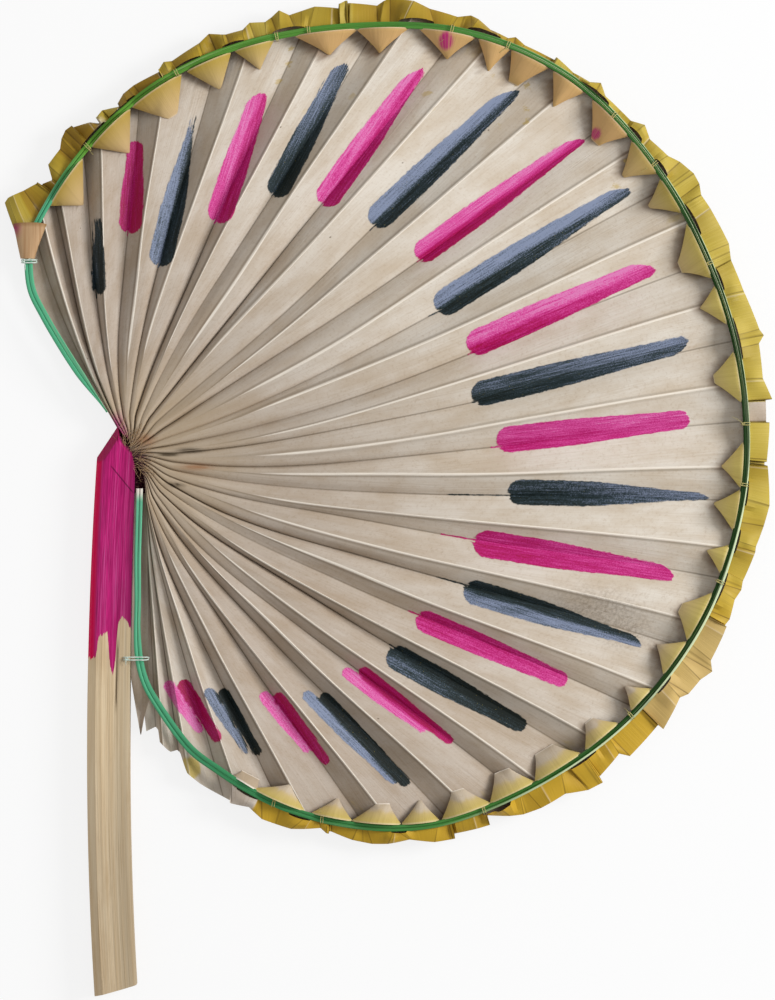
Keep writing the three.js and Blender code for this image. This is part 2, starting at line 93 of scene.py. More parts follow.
def rimAngle(q):      # even pitch, crowded by a cube at both ends, with a sine drift and two bell-shaped strays
    strayed = q + sum(by * np.exp(-((q - at) / wide) ** 2) for at, wide, by in plan["strays"])
    inner = np.clip(strayed, 1, plan["leaflets"] - 3)
    n = inner - 11
    drift = plan["pleatDrift"] * np.sin(2 * np.pi * (inner - plan["driftStart"]) / plan["driftPeriod"])
    angle = plan["pleatCentre"] - plan["pleatPitch"] * n + plan["pleatCrowd"] * n ** 3 - drift
    angle = angle + np.maximum(0, 1 - q) * plan["edgeUpper"]
    return np.radians(angle - np.maximum(0, q - plan["leaflets"] + 3) * plan["edgeLower"])


def leaned(place):      # two straight runs per leaflet, so that the valley stands off the middle
    first = np.floor(place)
    f = place - first
    valley = mixed(plan["valleyUpper"], plan["valleyLower"], ease(4, 18, first))
    return first + np.where(f < 0.5, 2 * f * valley, mixed(2 * valley - 1, 1, f))


def rootPoint(q):      # quarter ellipse round the stalk head, then a straight run down
    along = (q + 1) / plan["leaflets"]
    split = plan["rootSplit"]
    a = np.radians(90 * (1 - np.minimum(along, split) / split))
    down = np.maximum(0, along - split) / (1 - split)
    x = plan["rootCentre"][0] + plan["rootRadius"][0] * np.cos(a)
    y = plan["rootCentre"][1] + plan["rootRadius"][1] * np.sin(a) - plan["rootRun"] * down
    return x, y


# chord from root to rim, pushed sideways by t times (1 - t) squared, the free edge by t squared times (1 - t)
def foldLine(place, t):
    q = leaned(np.asarray(place, float))
    x0, y0 = rootPoint(q)
    angle = rimAngle(q)
    hoop = hoopRadius(angle)
    reach = np.maximum(np.minimum(plan["rimRadius"], hoop + plan["rimMost"]), hoop + plan["rimLeast"])
    dx = reach * np.cos(angle) - x0
    dy = reach * np.sin(angle) - y0
    length = np.hypot(dx, dy)
    free = 1 - ease(-1, 0.4, q)
    bow = mixed(plan["bowUpper"], plan["bowLower"], ease(4, 11, q)) * (1 - ease(18, 25, q)) * (1 - 0.7 * free)
    side = 6.75 * t * (1 - t) * (bow * (1 - t) + plan["edgeBow"] * free * t)
    return x0 + dx * t + dy / length * side, y0 + dy * t - dx / length * side


def halved(shape, low, beyond):      # halving search from low to 1.3 for the t at which beyond turns true
    low, high = np.full(shape, low), np.full(shape, 1.3)
    for _ in range(32):
        middle = (low + high) / 2
        past = beyond(middle)
        high = np.where(past, middle, high)
        low = np.where(past, low, middle)
    return (low + high) / 2


def placeOnLine(place, outside):      # the t that stands the given distance outside the hoop
    def beyond(t):      # radius less the hoop's radius, against that distance
        x, y = foldLine(place, t)
        return np.hypot(x, y) - hoopRadius(np.arctan2(y, x)) > outside
    return halved(np.broadcast(place, outside).shape, 0.4, beyond)


placeTable = np.linspace(-1, 25, 2601)
angleTable = np.degrees(np.unwrap(np.arctan2(*foldLine(placeTable, placeOnLine(placeTable, 0.0))[::-1])))


def placeAt(x, y):      # Newton steps on both coordinates, started from the angle at the hoop
    angle = np.degrees(np.arctan2(y, x))
    q = np.interp(-angle, -angleTable, placeTable)
    t = np.full(np.shape(q), 0.9)
    for _ in range(14):
        fx, fy = foldLine(q, t)
        ax, ay = foldLine(q + 1e-3, t)
        bx, by = foldLine(q, t + 1e-3)
        a, b, c, d = (ax - fx) * 1e3, (bx - fx) * 1e3, (ay - fy) * 1e3, (by - fy) * 1e3
        det = a * d - b * c
        ex, ey = x - fx, y - fy
        q = np.clip(q + np.clip((d * ex - b * ey) / det, -0.3, 0.3), -1, 24.999)
        t = np.clip(t + np.clip((a * ey - c * ex) / det, -0.1, 0.1), 0.02, 1.25)
    return q, t


def fromRidge(place):      # nought on a ridge, one on a valley
    return 1 - np.abs(2 * (place - np.floor(place)) - 1)


# blend from root to rim plus half a sine wave, less on the stalk side and at the free edges
def pleatDepth(place, t):
    form = pleatForm
    wave = between(-1, 1.5, 21, 24, place) * np.sin(np.pi * np.minimum(1, t / 0.87))
    depth = mixed(form["rootDepth"], form["rimDepth"], t) + form["belly"] * wave
    depth = depth * mixed(1, form["stalkSide"], ease(22, 24, place))
    return np.where((place < -0.5) | (place > 24.5), form["freeEdge"] * depth, depth)


def bladeHeight(place, t):      # straight pleat walls, rounder towards the root, with slow ripples of a dried leaf
    form, s, leaflet = pleatForm, fromRidge(place), np.floor(place)
    near = 1 - ease(0.1, 0.8, t)
    groove = form["groove"] + form["grooveMore"] * np.sin(1.7 * leaflet + 0.8) ** 2
    fold = mixed(1 - s, 1 - groove * s ** 4, near)
    ripple = form["ripple"] * np.sin(5.1 * place + 8.3 * t) * np.sin(2.3 * place - 13.7 * t) * ease(0.1, 0.4, t)
    bulge = form["bulge"] * np.sin(np.pi * s) * np.sin(3.7 * leaflet + 1.1 + 4 * t) * ease(0.15, 0.5, t)
    return form["valleyUnder"] + form["sheet"] + pleatDepth(place, t) * fold + ripple * s + bulge


# mesh making

def shellBetween(upper, lower, fields, under={}):
    # closed body between two grids of points, walled on all four sides and turned to face outwards
    rows, columns = upper.shape[:2]
    points = np.concatenate([upper.reshape(-1, 3), lower.reshape(-1, 3)])
    second = rows * columns
    index = np.arange(second).reshape(rows, columns)
    top = np.stack([index[:-1, :-1], index[:-1, 1:], index[1:, 1:], index[1:, :-1]], -1).reshape(-1, 4)
    rim = np.concatenate([index[0, :-1], index[:-1, -1], index[-1, :0:-1], index[:0:-1, 0]])
    nextRim = np.roll(rim, -1)
    walls = np.stack([nextRim, rim, rim + second, nextRim + second], -1)
    faces = np.concatenate([top, top[:, ::-1] + second, walls])
    made = {}
    for key, values in fields.items():
        both = (np.broadcast_to(part, (rows, columns)).ravel() for part in (values, under.get(key, values)))
        made[key] = np.concatenate(list(both))
    return facingOut(points, faces), made


def facingOut(points, faces):      # signed volume over the triangles of every quad decides the turn
    a, b, c, d = (points[faces[:, n]] for n in range(4))
    volume = (a * np.cross(b, c)).sum() + (a * np.cross(c, d)).sum()
    return points, (faces if volume > 0 else faces[:, ::-1])


def ringFaces(count, sides, closed):      # quads between neighbouring rings, with flat caps on an open run
    spans = count if closed else count - 1
    i = np.arange(spans)[:, None] * sides
    k = ((np.arange(spans) + 1) % count)[:, None] * sides
    j = np.arange(sides)[None, :]
    m = (j + 1) % sides
    faces = np.stack([i + j, i + m, k + m, k + j], -1).reshape(-1, 4)
    if not closed:
        pairs = np.arange(sides // 2 - 1)
        cap = np.stack([pairs, pairs + 1, sides - 2 - pairs, sides - 1 - pairs], -1)
        faces = np.concatenate([faces, cap[:, ::-1], cap + (count - 1) * sides])
    return faces


def tubeAlong(path, radius, level, sides=6, closed=False):
    # ring of points carried along a path; its first axis is the level direction cleared of the tangent
    path = np.asarray(path, float)
    count = len(path)
    tangent = np.roll(path, -1, 0) - np.roll(path, 1, 0) if closed else np.gradient(path, axis=0)
    tangent /= np.linalg.norm(tangent, axis=1, keepdims=True)
    level = np.broadcast_to(np.asarray(level, float), path.shape)
    first = level - (level * tangent).sum(1, keepdims=True) * tangent
    first /= np.linalg.norm(first, axis=1, keepdims=True)
    other = np.cross(tangent, first)
    turn = np.linspace(0, 2 * np.pi, sides, endpoint=False)
    radius = np.broadcast_to(np.asarray(radius, float), (count,))[:, None, None]
    ring = first[:, None] * np.cos(turn)[None, :, None] + other[:, None] * np.sin(turn)[None, :, None]
    points = (path[:, None] + radius * ring).reshape(-1, 3)
    made = {"along": np.repeat(np.linspace(0, 1, count), sides), "across": np.tile(np.cos(turn), count)}
    return facingOut(points, ringFaces(count, sides, closed)), made


def putPiece(name, shells, material, nodes=(), sharp=35):
    # joins shells into one mesh in metres, writes their fields as point attributes and rides it on the body
    points, faces, start = [], [], 0
    for (p, f), _ in shells:
        points.append(p)
        faces.append(f + start)
        start += len(p)
    points = (np.concatenate(points) + planShift) / 1000
    mesh = bpy.data.meshes.new(name)
    mesh.from_pydata(points.tolist(), [], np.concatenate(faces).tolist())
    for key in sorted({k for _, fields in shells for k in fields}):
        values = np.concatenate([fields.get(key, np.zeros(len(p))) for (p, _), fields in shells])
        mesh.attributes.new(key, "FLOAT", "POINT").data.foreach_set("value", values.astype(np.float32))
    mesh.polygons.foreach_set("use_smooth", np.ones(len(mesh.polygons), bool))
    mesh.set_sharp_from_angle(angle=np.radians(sharp))
    mesh.validate()
    piece = bpy.data.objects.new(name, mesh)
    bpy.context.collection.objects.link(piece)
    mesh.materials.append(material)
    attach(piece, "root")
    if nodes:
        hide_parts(*nodes)
    return piece


# material helpers

def linear(code):      # hex colour to linear light
    c = np.array([int(code[n:n + 2], 16) for n in (1, 3, 5)]) / 255
    return (*np.where(c <= 0.04045, c / 12.92, ((c + 0.055) / 1.055) ** 2.4), 1.0)


def plug(tree, value, socket):      # links one socket to another, or sets a plain value on it
    if isinstance(value, bpy.types.NodeSocket):
        tree.links.new(value, socket)
    else:
        socket.default_value = value


def calc(tree, operation, a, b=0.0, clamp=False):      # the operation's result for a and b
    made = tree.nodes.new("ShaderNodeMath")
    made.operation, made.use_clamp = operation, clamp
    plug(tree, a, made.inputs[0])
    plug(tree, b, made.inputs[1])
    return made.outputs[0]


def times(tree, a, b, clamp=False):      # a times b
    return calc(tree, "MULTIPLY", a, b, clamp)


def plus(tree, a, b):      # a and b added
    return calc(tree, "ADD", a, b)


def less(tree, a, b):      # a without b
    return calc(tree, "SUBTRACT", a, b)


def spread(tree, value, low, high, first=0.0, last=1.0):      # smooth ramp from low to high
    made = tree.nodes.new("ShaderNodeMapRange")
    made.interpolation_type = "SMOOTHSTEP"
    for socket, v in zip(made.inputs, (value, low, high, first, last)):
        plug(tree, v, socket)
    return made.outputs[0]


# straight blend of two colours by the amount, or towards their product
def tint(tree, amount, first, second, kind="MIX"):
    made = tree.nodes.new("ShaderNodeMix")
    made.data_type, made.blend_type = "RGBA", kind
    plug(tree, amount, made.inputs[0])
    plug(tree, first, made.inputs[6])
    plug(tree, second, made.inputs[7])
    return made.outputs[2]


def layer(tree, base, mask, share, colour):      # base blended to the colour by mask times share
    return tint(tree, times(tree, mask, share), base, colour)


def ramp(tree, amount, look, stops):      # straight runs between the look's colours, set at shares of the amount
    made = tree.nodes.new("ShaderNodeValToRGB")
    marks = made.color_ramp.elements
    while len(marks) < len(stops):
        marks.new(0.5)
    for mark, (at, key) in zip(marks, stops):
        mark.position, mark.color = at, linear(look[key])
    plug(tree, amount, made.inputs[0])
    return made.outputs[0]


def noise(tree, vector, scale, detail=2.0, rough=0.5):      # noise texture at the vector times the scale
    made = tree.nodes.new("ShaderNodeTexNoise")
    plug(tree, vector, made.inputs["Vector"])
    made.inputs["Scale"].default_value = scale
    made.inputs["Detail"].default_value = detail
    made.inputs["Roughness"].default_value = rough
    return made.outputs[0]


def vectorOf(tree, x, y, z=0.0):      # three values as one vector
    made = tree.nodes.new("ShaderNodeCombineXYZ")
    for socket, v in zip(made.inputs, (x, y, z)):
        plug(tree, v, socket)
    return made.outputs[0]


def field(tree, name):      # point attribute written by putPiece
    made = tree.nodes.new("ShaderNodeAttribute")
    made.attribute_name = name
    return made.outputs["Fac"]


# empty group with number sockets; gives the group, what it is fed and what it gives
def newGroup(name, inputs, outputs):
    group = bpy.data.node_groups.new(name, "ShaderNodeTree")
    for way, keys in (("INPUT", inputs), ("OUTPUT", outputs)):
        for key in keys.split():
            group.interface.new_socket(key, in_out=way, socket_type="NodeSocketFloat")
    return group, group.nodes.new("NodeGroupInput").outputs, group.nodes.new("NodeGroupOutput").inputs


def useGroup(tree, group, **values):      # the group placed in a material with that material's own values
    made = tree.nodes.new("ShaderNodeGroup")
    made.node_tree = group
    for key, v in values.items():
        plug(tree, v, made.inputs[key])
    return made.outputs


def newMaterial(name, roughness=0.6, shine=0.2):      # Principled shader with an even roughness and shine to start from
    material = bpy.data.materials.new(name)
    material.use_nodes = True
    shader = material.node_tree.nodes["Principled BSDF"]
    shader.inputs["Roughness"].default_value = roughness
    shader.inputs["Specular IOR Level"].default_value = shine
    return material, material.node_tree, shader


def bumped(tree, shader, height, distance, strength=0.6):      # leans the normal by the slope of the height
    made = tree.nodes.new("ShaderNodeBump")
    made.inputs["Strength"].default_value = strength
    made.inputs["Distance"].default_value = distance
    plug(tree, height, made.inputs["Height"])
    plug(tree, made.outputs[0], shader.inputs["Normal"])


# plant fibre: long streaks, fine lines, soft blotches, sparse dark specks and wet blots, from millimetres both ways
def makeFibreGrain():      # noise and cells on across and along, each times its own share, set apart by the seed
    tree, feed, give = newGroup("fibreGrain", "Along Across Seed", "Streak Line Blotch Speck Blot")
    along, across, seed = (feed[n] for n in range(3))
    offset = times(tree, seed, 17.3)

    def stretched(wide, long):      # across times wide, along times long
        return vectorOf(tree, times(tree, across, wide), times(tree, along, long), offset)

    # cell texture: those whose own number is above the share, and the distance to their middles
    def cells(wide, long, share):
        made = tree.nodes.new("ShaderNodeTexVoronoi")
        plug(tree, stretched(wide, long), made.inputs["Vector"])
        made.inputs["Scale"].default_value = 1.0
        return calc(tree, "GREATER_THAN", made.outputs["Color"], share), made.outputs["Distance"]

    plug(tree, noise(tree, stretched(0.55, 0.016), 1.0, 4.0, 0.62), give[0])
    plug(tree, noise(tree, stretched(2.6, 0.03), 1.0, 3.0, 0.6), give[1])
    plug(tree, noise(tree, stretched(0.09, 0.035), 1.0, 5.0, 0.6), give[2])
    rare, distance = cells(0.22, 0.16, 0.86)
    plug(tree, times(tree, rare, spread(tree, distance, 0.1, 0.05)), give[3])
    rare, distance = cells(0.11, 0.1, 0.42)
    wet = noise(tree, vectorOf(tree, across, along, offset), 0.5, 3.0, 0.6)
    wet = plus(tree, distance, times(tree, less(tree, wet, 0.5), 0.5))
    plug(tree, times(tree, rare, spread(tree, wet, 0.2, 0.1)), give[4])
    return tree


# brush paint: cover from the distance to the outline, opened by bristle lines where the brush runs dry
def makeBrushWork():      # smooth step of the gap plus ragged noise and, times the dryness, bristle noise
    tree, feed, give = newGroup("brushWork", "Gap Side Run Dry Seed", "Cover Bristle")
    gap, side, run, dry, seed = (feed[n] for n in range(5))
    offset = times(tree, seed, 9.7)
    hairs = noise(tree, vectorOf(tree, times(tree, side, 1.9), times(tree, run, 0.07), offset), 1.0, 3.0, 0.65)
    ragged = noise(tree, vectorOf(tree, side, times(tree, run, 0.45), offset), 1.0, 3.0, 0.6)
    edge = plus(tree, gap, times(tree, less(tree, ragged, 0.5), 1.1))
    edge = plus(tree, edge, times(tree, less(tree, hairs, 0.45), times(tree, dry, 9.0)))
    plug(tree, spread(tree, edge, 0.25, -0.25), give[0])
    plug(tree, hairs, give[1])
    return tree


fibreGrain = makeFibreGrain()
brushWork = makeBrushWork()
print("node groups made")

# leaf finish
leafLook = {
    "pale": "#e1d9cd", "tan": "#cdbeaa", "stain": "#a98f6f", "ridge": "#f6eddf", "valley": "#64543f", "dust": "#8d7f70",
    "hubShade": "#b9a27f", "rootStain": "#4a1029", "pinkStain": "#b3447c", "hubDark": "#4f4231", "hubRust": "#9a6a45",
    "ochre": "#9c7a22", "yellow": "#b2962f", "bright": "#b9a343", "lemon": "#dfcb76", "gold": "#c59c28",
    "drip": "#bda04a", "hemTan": "#cfb78f", "peach": "#d2a974",
    "hemStreak": "#7d6226", "hemValley": "#5a4416", "hemCrease": "#4f3b12",
    "crimson": "#a20b45", "magenta": "#bb1f74", "pink": "#d9529f", "rose": "#dd7db6",
    "black": "#151d1a", "ink": "#2d3a3f", "slate": "#8590aa", "fleck": "#b7a53a",
}
# what the painted falloff of light on an old leaf, and the painted shadow of a fold, keep of the light
leafShade = {"age": (0.69, 0.64, 0.61, 1), "lee": (0.36, 0.28, 0.22, 1)}
hemStops = [(0.0, "ochre"), (0.38, "yellow"), (0.7, "bright"), (1.0, "lemon")]
# the pale ends of the ink ramps (rose, slate) stand partly for thin paint and partly for painted sheen
pinkStops = [(0.0, "crimson"), (0.38, "magenta"), (0.8, "pink"), (1.0, "rose")]
blueStops = [(0.0, "black"), (0.4, "ink"), (0.95, "slate")]


# blotched and streaked leaf, lined on its folds with painted shade and painted highlight, darkened by painted falloff
# of light and painted wall shade, under stains, hem paint, painted shadow and brush strokes, each blended by its own
# mask
def leafMaterial():
    material, tree, shader = newMaterial("leaf", 0.62)
    along, across, seed = field(tree, "along"), field(tree, "across"), field(tree, "seed")
    grain = useGroup(tree, fibreGrain, Along=along, Across=across, Seed=seed)
    c = {k: linear(v) for k, v in leafLook.items()}
    base = tint(tree, spread(tree, grain["Blotch"], 0.3, 0.72), c["pale"], c["tan"])
    base = layer(tree, base, spread(tree, grain["Streak"], 0.52, 0.8), 0.2, c["stain"])
    base = layer(tree, base, spread(tree, grain["Line"], 0.45, 0.7), 0.16, c["stain"])
    mote = noise(tree, vectorOf(tree, across, along, seed), 0.9, 3.0, 0.7)
    base = layer(tree, base, spread(tree, mote, 0.5, 0.75), 0.3, c["stain"])
    age, dust, ridgeGap = field(tree, "age"), field(tree, "dust"), field(tree, "ridgeGap")
    # painted falloff of light: darker towards the lower left and the hub
    base = tint(tree, age, base, leafShade["age"], "MULTIPLY")
    # painted shade on the pleat wall that faces away from the lamp, more where the falloff is deeper; the same grey
    # serves the smudges
    base = layer(tree, base, dust, plus(tree, 0.03, times(tree, age, 0.14)), c["dust"])
    # painted shade: a dark line beside each ridge on the wall away from the lamp
    shade = times(tree, spread(tree, ridgeGap, 0.4, 0.8), spread(tree, ridgeGap, 1.9, 0.9))
    base = layer(tree, base, shade, times(tree, dust, 0.45), c["valley"])
    # painted shade: darker tan towards the hub, as part of the painted falloff of light
    base = layer(tree, base, spread(tree, along, 62.0, 4.0), 0.5, c["hubShade"])
    base = layer(tree, base, grain["Speck"], 0.75, c["valley"])
    # painted shade: dark lines in the valley creases
    valley = spread(tree, calc(tree, "ABSOLUTE", across), 0.5, 0.1)
    base = layer(tree, base, valley, field(tree, "valleyInk"), c["valley"])
    # painted highlight: pale line along each ridge crest
    ridge = times(tree, spread(tree, ridgeGap, 0.6, 0.15), spread(tree, grain["Blotch"], 0.2, 0.6, 0.35, 0.9))
    base = tint(tree, ridge, base, c["ridge"])
    mottle = spread(tree, grain["Line"], 0.3, 0.6, 0.45, 1.0)
    smear = times(tree, field(tree, "smear"), spread(tree, mote, 0.35, 0.65, 0.15, 0.6))
    base = tint(tree, smear, base, c["dust"])
    for key in ("hubDark", "hubRust", "pinkStain", "rootStain"):
        base = layer(tree, base, field(tree, key), mottle, c[key])
    # hem paint, from ochre to bright yellow round the rim
    blot = times(tree, less(tree, grain["Blotch"], 0.5), 1.5)
    hemTone = plus(tree, field(tree, "hemHue"), times(tree, less(tree, grain["Line"], 0.5), 0.3))
    hem = ramp(tree, times(tree, hemTone, 0.8), leafLook, hemStops)
    hem = tint(tree, field(tree, "gold"), hem, c["gold"])
    hem = tint(tree, field(tree, "hemTan"), hem, tint(tree, field(tree, "peach"), c["hemTan"], c["peach"]))
    hem = layer(tree, hem, spread(tree, grain["Streak"], 0.5, 0.75), 0.18, c["hemStreak"])
    # painted shade in the hem's valleys and along its fold edges, painted highlight on its ridges
    hem = layer(tree, hem, valley, 0.35, c["hemValley"])
    hem = layer(tree, hem, field(tree, "crease"), 0.7, c["hemCrease"])
    hem = layer(tree, hem, ridge, 0.3, c["ridge"])
    hem = layer(tree, hem, field(tree, "dab"), mottle, c["magenta"])
    hemCover = spread(tree, plus(tree, field(tree, "hemPaint"), blot), 0.35, 0.75)
    base = tint(tree, hemCover, base, hem)
    # painted shadow: darker beside the folded points, beyond the hoop under the hem, and on every other hem facet
    base = tint(tree, times(tree, field(tree, "lee"), 0.75, True), base, leafShade["lee"], "MULTIPLY")
    base = layer(tree, base, times(tree, grain["Blot"], field(tree, "drip")), 0.6, c["drip"])
    # brush strokes in two inks, paler on one pleat wall, partly where the brush left thin paint and partly as painted
    # sheen
    run, side, cool = field(tree, "strokeRun"), field(tree, "strokeSide"), field(tree, "ink")
    paint = useGroup(tree, brushWork, Gap=field(tree, "strokeGap"), Side=side, Run=run,
                     Dry=field(tree, "strokeDry"), Seed=seed)
    body = plus(tree, field(tree, "strokeThin"), times(tree, less(tree, paint["Bristle"], 0.5), 1.3))
    stipple = noise(tree, vectorOf(tree, side, run, seed), 2.3, 1.0)
    body = plus(tree, body, times(tree, less(tree, stipple, 0.5), 0.9))
    pinks, blues = (ramp(tree, body, leafLook, stops) for stops in (pinkStops, blueStops))
    ink = tint(tree, cool, pinks, blues)
    drops = noise(tree, vectorOf(tree, side, times(tree, run, 0.6), seed), 2.6, 2.0)
    ink = layer(tree, ink, spread(tree, drops, 0.73, 0.77), times(tree, cool, 0.75), c["fleck"])
    base = tint(tree, paint["Cover"], base, ink)
    plug(tree, base, shader.inputs["Base Color"])
    coated = plus(tree, paint["Cover"], times(tree, hemCover, 0.5))
    plug(tree, spread(tree, coated, 0.0, 1.0, 0.66, 0.4), shader.inputs["Roughness"])
    height = plus(tree, times(tree, grain["Line"], 0.6), times(tree, grain["Streak"], 0.8))
    height = plus(tree, height, times(tree, paint["Cover"], times(tree, paint["Bristle"], 1.4)))
    bumped(tree, shader, height, 0.0004, 0.5)
    return material


leafFinish = leafMaterial()

# outline of the rim: degrees round the blade, reach outside the hoop
rimOutline = np.array([
    (148.5, 16.0), (146.8, 15.4), (144.7, 11.2), (142.8, 8.4), (142.3, 6.3), (141.1, 3.9), (140.9, 4.2), (139.7, 8.8),
    (136.9, 9.0), (135.7, 11.3), (134.5, 12.3), (133.5, 11.7), (133.3, 10.7), (131.2, 7.3), (130.4, 4.7), (130.0, 6.9),
    (128.8, 7.5), (126.6, 4.4), (126.4, 5.5), (125.0, 7.2), (123.1, 7.4), (119.2, 6.0), (118.8, 6.8), (117.8, 8.3),
    (116.7, 6.9), (112.2, 8.2), (110.5, 10.0), (108.8, 7.5), (108.3, 6.9), (105.9, 6.0), (104.7, 7.8), (102.6, 6.2),
    (101.6, 7.3), (100.4, 9.3), (99.1, 6.4), (95.5, 7.7), (92.4, 5.6), (92.1, 7.2), (91.3, 8.2), (90.7, 7.3),
    (87.0, 5.9), (86.2, 7.7), (85.3, 9.0), (82.1, 8.3), (79.8, 6.0), (75.9, 5.0), (74.2, 6.9), (73.1, 6.3),
    (71.1, 3.6), (68.4, 3.0), (67.5, 4.6), (65.9, 3.2), (61.6, 3.8), (61.1, 5.0), (58.2, 3.4), (55.6, 4.4),
    (54.3, 7.0), (52.7, 4.2), (47.8, 4.2), (46.0, 7.2), (44.1, 4.9), (40.7, 6.7), (39.0, 9.3), (36.6, 11.4),
    (35.0, 11.0), (33.6, 9.3), (31.4, 9.8), (25.9, 10.5), (23.7, 8.7), (19.0, 9.0), (13.3, 11.0), (12.4, 12.2),
    (11.4, 9.5), (6.5, 8.4), (3.6, 11.2), (3.4, 8.7), (0.5, 8.4), (0.3, 9.6), (-4.8, 8.4), (-5.5, 7.6), (-5.7, 8.8),
    (-11.0, 11.4), (-13.9, 10.5), (-16.9, 9.3), (-17.6, 9.6), (-21.9, 8.6), (-23.1, 9.3), (-24.7, 8.3), (-27.4, 9.7),
    (-28.3, 9.1), (-28.6, 9.8), (-33.5, 11.2), (-34.6, 14.1), (-36.4, 12.0), (-38.9, 11.5), (-40.0, 9.7),
    (-44.5, 13.2), (-44.8, 10.7), (-50.3, 11.9), (-51.2, 8.3), (-55.0, 10.8), (-55.4, 13.5), (-57.4, 12.7),
    (-60.3, 9.0), (-64.1, 9.4), (-66.6, 8.8), (-68.4, 7.2), (-71.2, 3.8), (-71.4, 7.6), (-76.0, 7.3), (-76.7, 9.2),
    (-79.2, 9.0), (-82.5, 6.6), (-85.5, 7.9), (-87.7, 8.0), (-90.4, 6.9), (-93.3, 4.6), (-94.0, 5.5), (-94.9, 3.8),
    (-99.0, 7.2), (-103.3, 7.6), (-105.5, 5.3), (-108.1, 7.3), (-113.2, 8.3), (-116.1, 8.0), (-118.4, 3.6),
    (-119.2, 6.2), (-121.8, 6.4), (-122.6, 7.4), (-123.2, 3.4), (-124.4, 9.6), (-125.4, 4.0), (-129.3, 3.8)])

# steps of the outline, where one fold of the hem lies over the next, are made upright
turned, stepped = np.diff(rimOutline, axis=0).T      # degrees, millimetres
jumps = (np.abs(turned) < 0.75) & (np.abs(stepped) > 0.7)
stepAngles = (rimOutline[:-1, 0] + rimOutline[1:, 0])[jumps] / 2
stepsUp = stepped[jumps] > 0
upright = np.concatenate([np.column_stack([stepAngles + 0.04, rimOutline[:-1, 1][jumps]]),
                          np.column_stack([stepAngles - 0.04, rimOutline[1:, 1][jumps]])])
rimOutline = np.concatenate([rimOutline, upright])
rimOutline = rimOutline[np.argsort(-rimOutline[:, 0])]

# arched free edges of the hem on the outer side of the hoop: degrees from and to, lift
rimArches = [
    (134.8, 129.1, 0.9), (128.6, 123.5, 0.8), (117.0, 112.5, 1.2), (109.6, 106.1, 1.2), (102.0, 97.3, 1.6),
    (83.9, 78.8, 2.0), (74.2, 69.3, 2.2), (56.6, 51.4, 2.6), (47.5, 44.3, 1.4), (41.7, 38.5, 1.4), (33.8, 28.6, 1.2),
    (23.4, 19.7, 0.8), (16.0, 9.2, 0.8), (-8.1, -12.2, 0.5), (-15.2, -18.7, 0.6), (-21.6, -26.8, 0.8),
    (-38.4, -41.9, 0.9), (-53.4, -58.0, 0.8), (-67.1, -72.2, 2.6), (-82.2, -85.4, 0.8), (-96.3, -100.3, 0.9),
    (-104.5, -109.1, 1.4)]

# folded points on the inner side: degrees of left corner, tip and right corner, depth, half width of a blunt tip
rimTabs = [
    (144.2, 141.0, 135.7, 11.7, 0.0), (133.4, 129.7, 125.5, 12.0, 0.0), (125.0, 120.5, 116.4, 12.0, 0.8),
    (115.4, 111.9, 108.5, 11.7, 0.2), (107.8, 105.0, 102.0, 11.0, 0.0), (98.7, 94.0, 89.7, 12.3, 0.2),
    (89.7, 86.2, 82.4, 13.0, 0.1), (80.7, 75.9, 72.8, 12.3, 0.1), (72.2, 69.4, 67.6, 12.0, 0.0),
    (67.3, 65.2, 61.6, 12.4, 0.8), (60.7, 58.1, 55.5, 12.1, 0.0), (53.8, 49.7, 46.6, 12.0, 0.8),
    (45.7, 42.9, 39.8, 12.5, 0.3), (38.8, 36.6, 33.1, 10.8, 0.3), (31.2, 25.9, 22.4, 11.2, 0.9),
    (21.1, 18.7, 15.2, 9.5, 0.1), (10.9, 7.3, 3.4, 10.9, 0.7), (-2.6, -6.4, -9.2, 9.5, 0.1),
    (-9.6, -12.3, -15.5, 10.4, 0.2), (-17.8, -19.6, -22.0, 8.9, 0.0), (-25.2, -29.3, -32.9, 10.1, 0.8),
    (-33.2, -36.0, -38.9, 10.1, 0.1), (-41.7, -44.0, -45.9, 9.5, 0.0), (-48.6, -51.7, -54.6, 9.7, 0.7),
    (-55.5, -59.8, -63.2, 10.5, 1.6), (-63.3, -67.0, -70.3, 10.8, 1.2), (-70.3, -74.3, -77.5, 9.6, 0.9),
    (-78.0, -80.2, -83.3, 8.3, 0.2), (-83.5, -85.8, -90.4, 8.3, 1.0), (-90.5, -92.7, -96.3, 8.7, 0.2),
    (-97.5, -100.3, -105.6, 9.5, 0.2), (-105.0, -106.6, -109.1, 6.4, 1.5)]
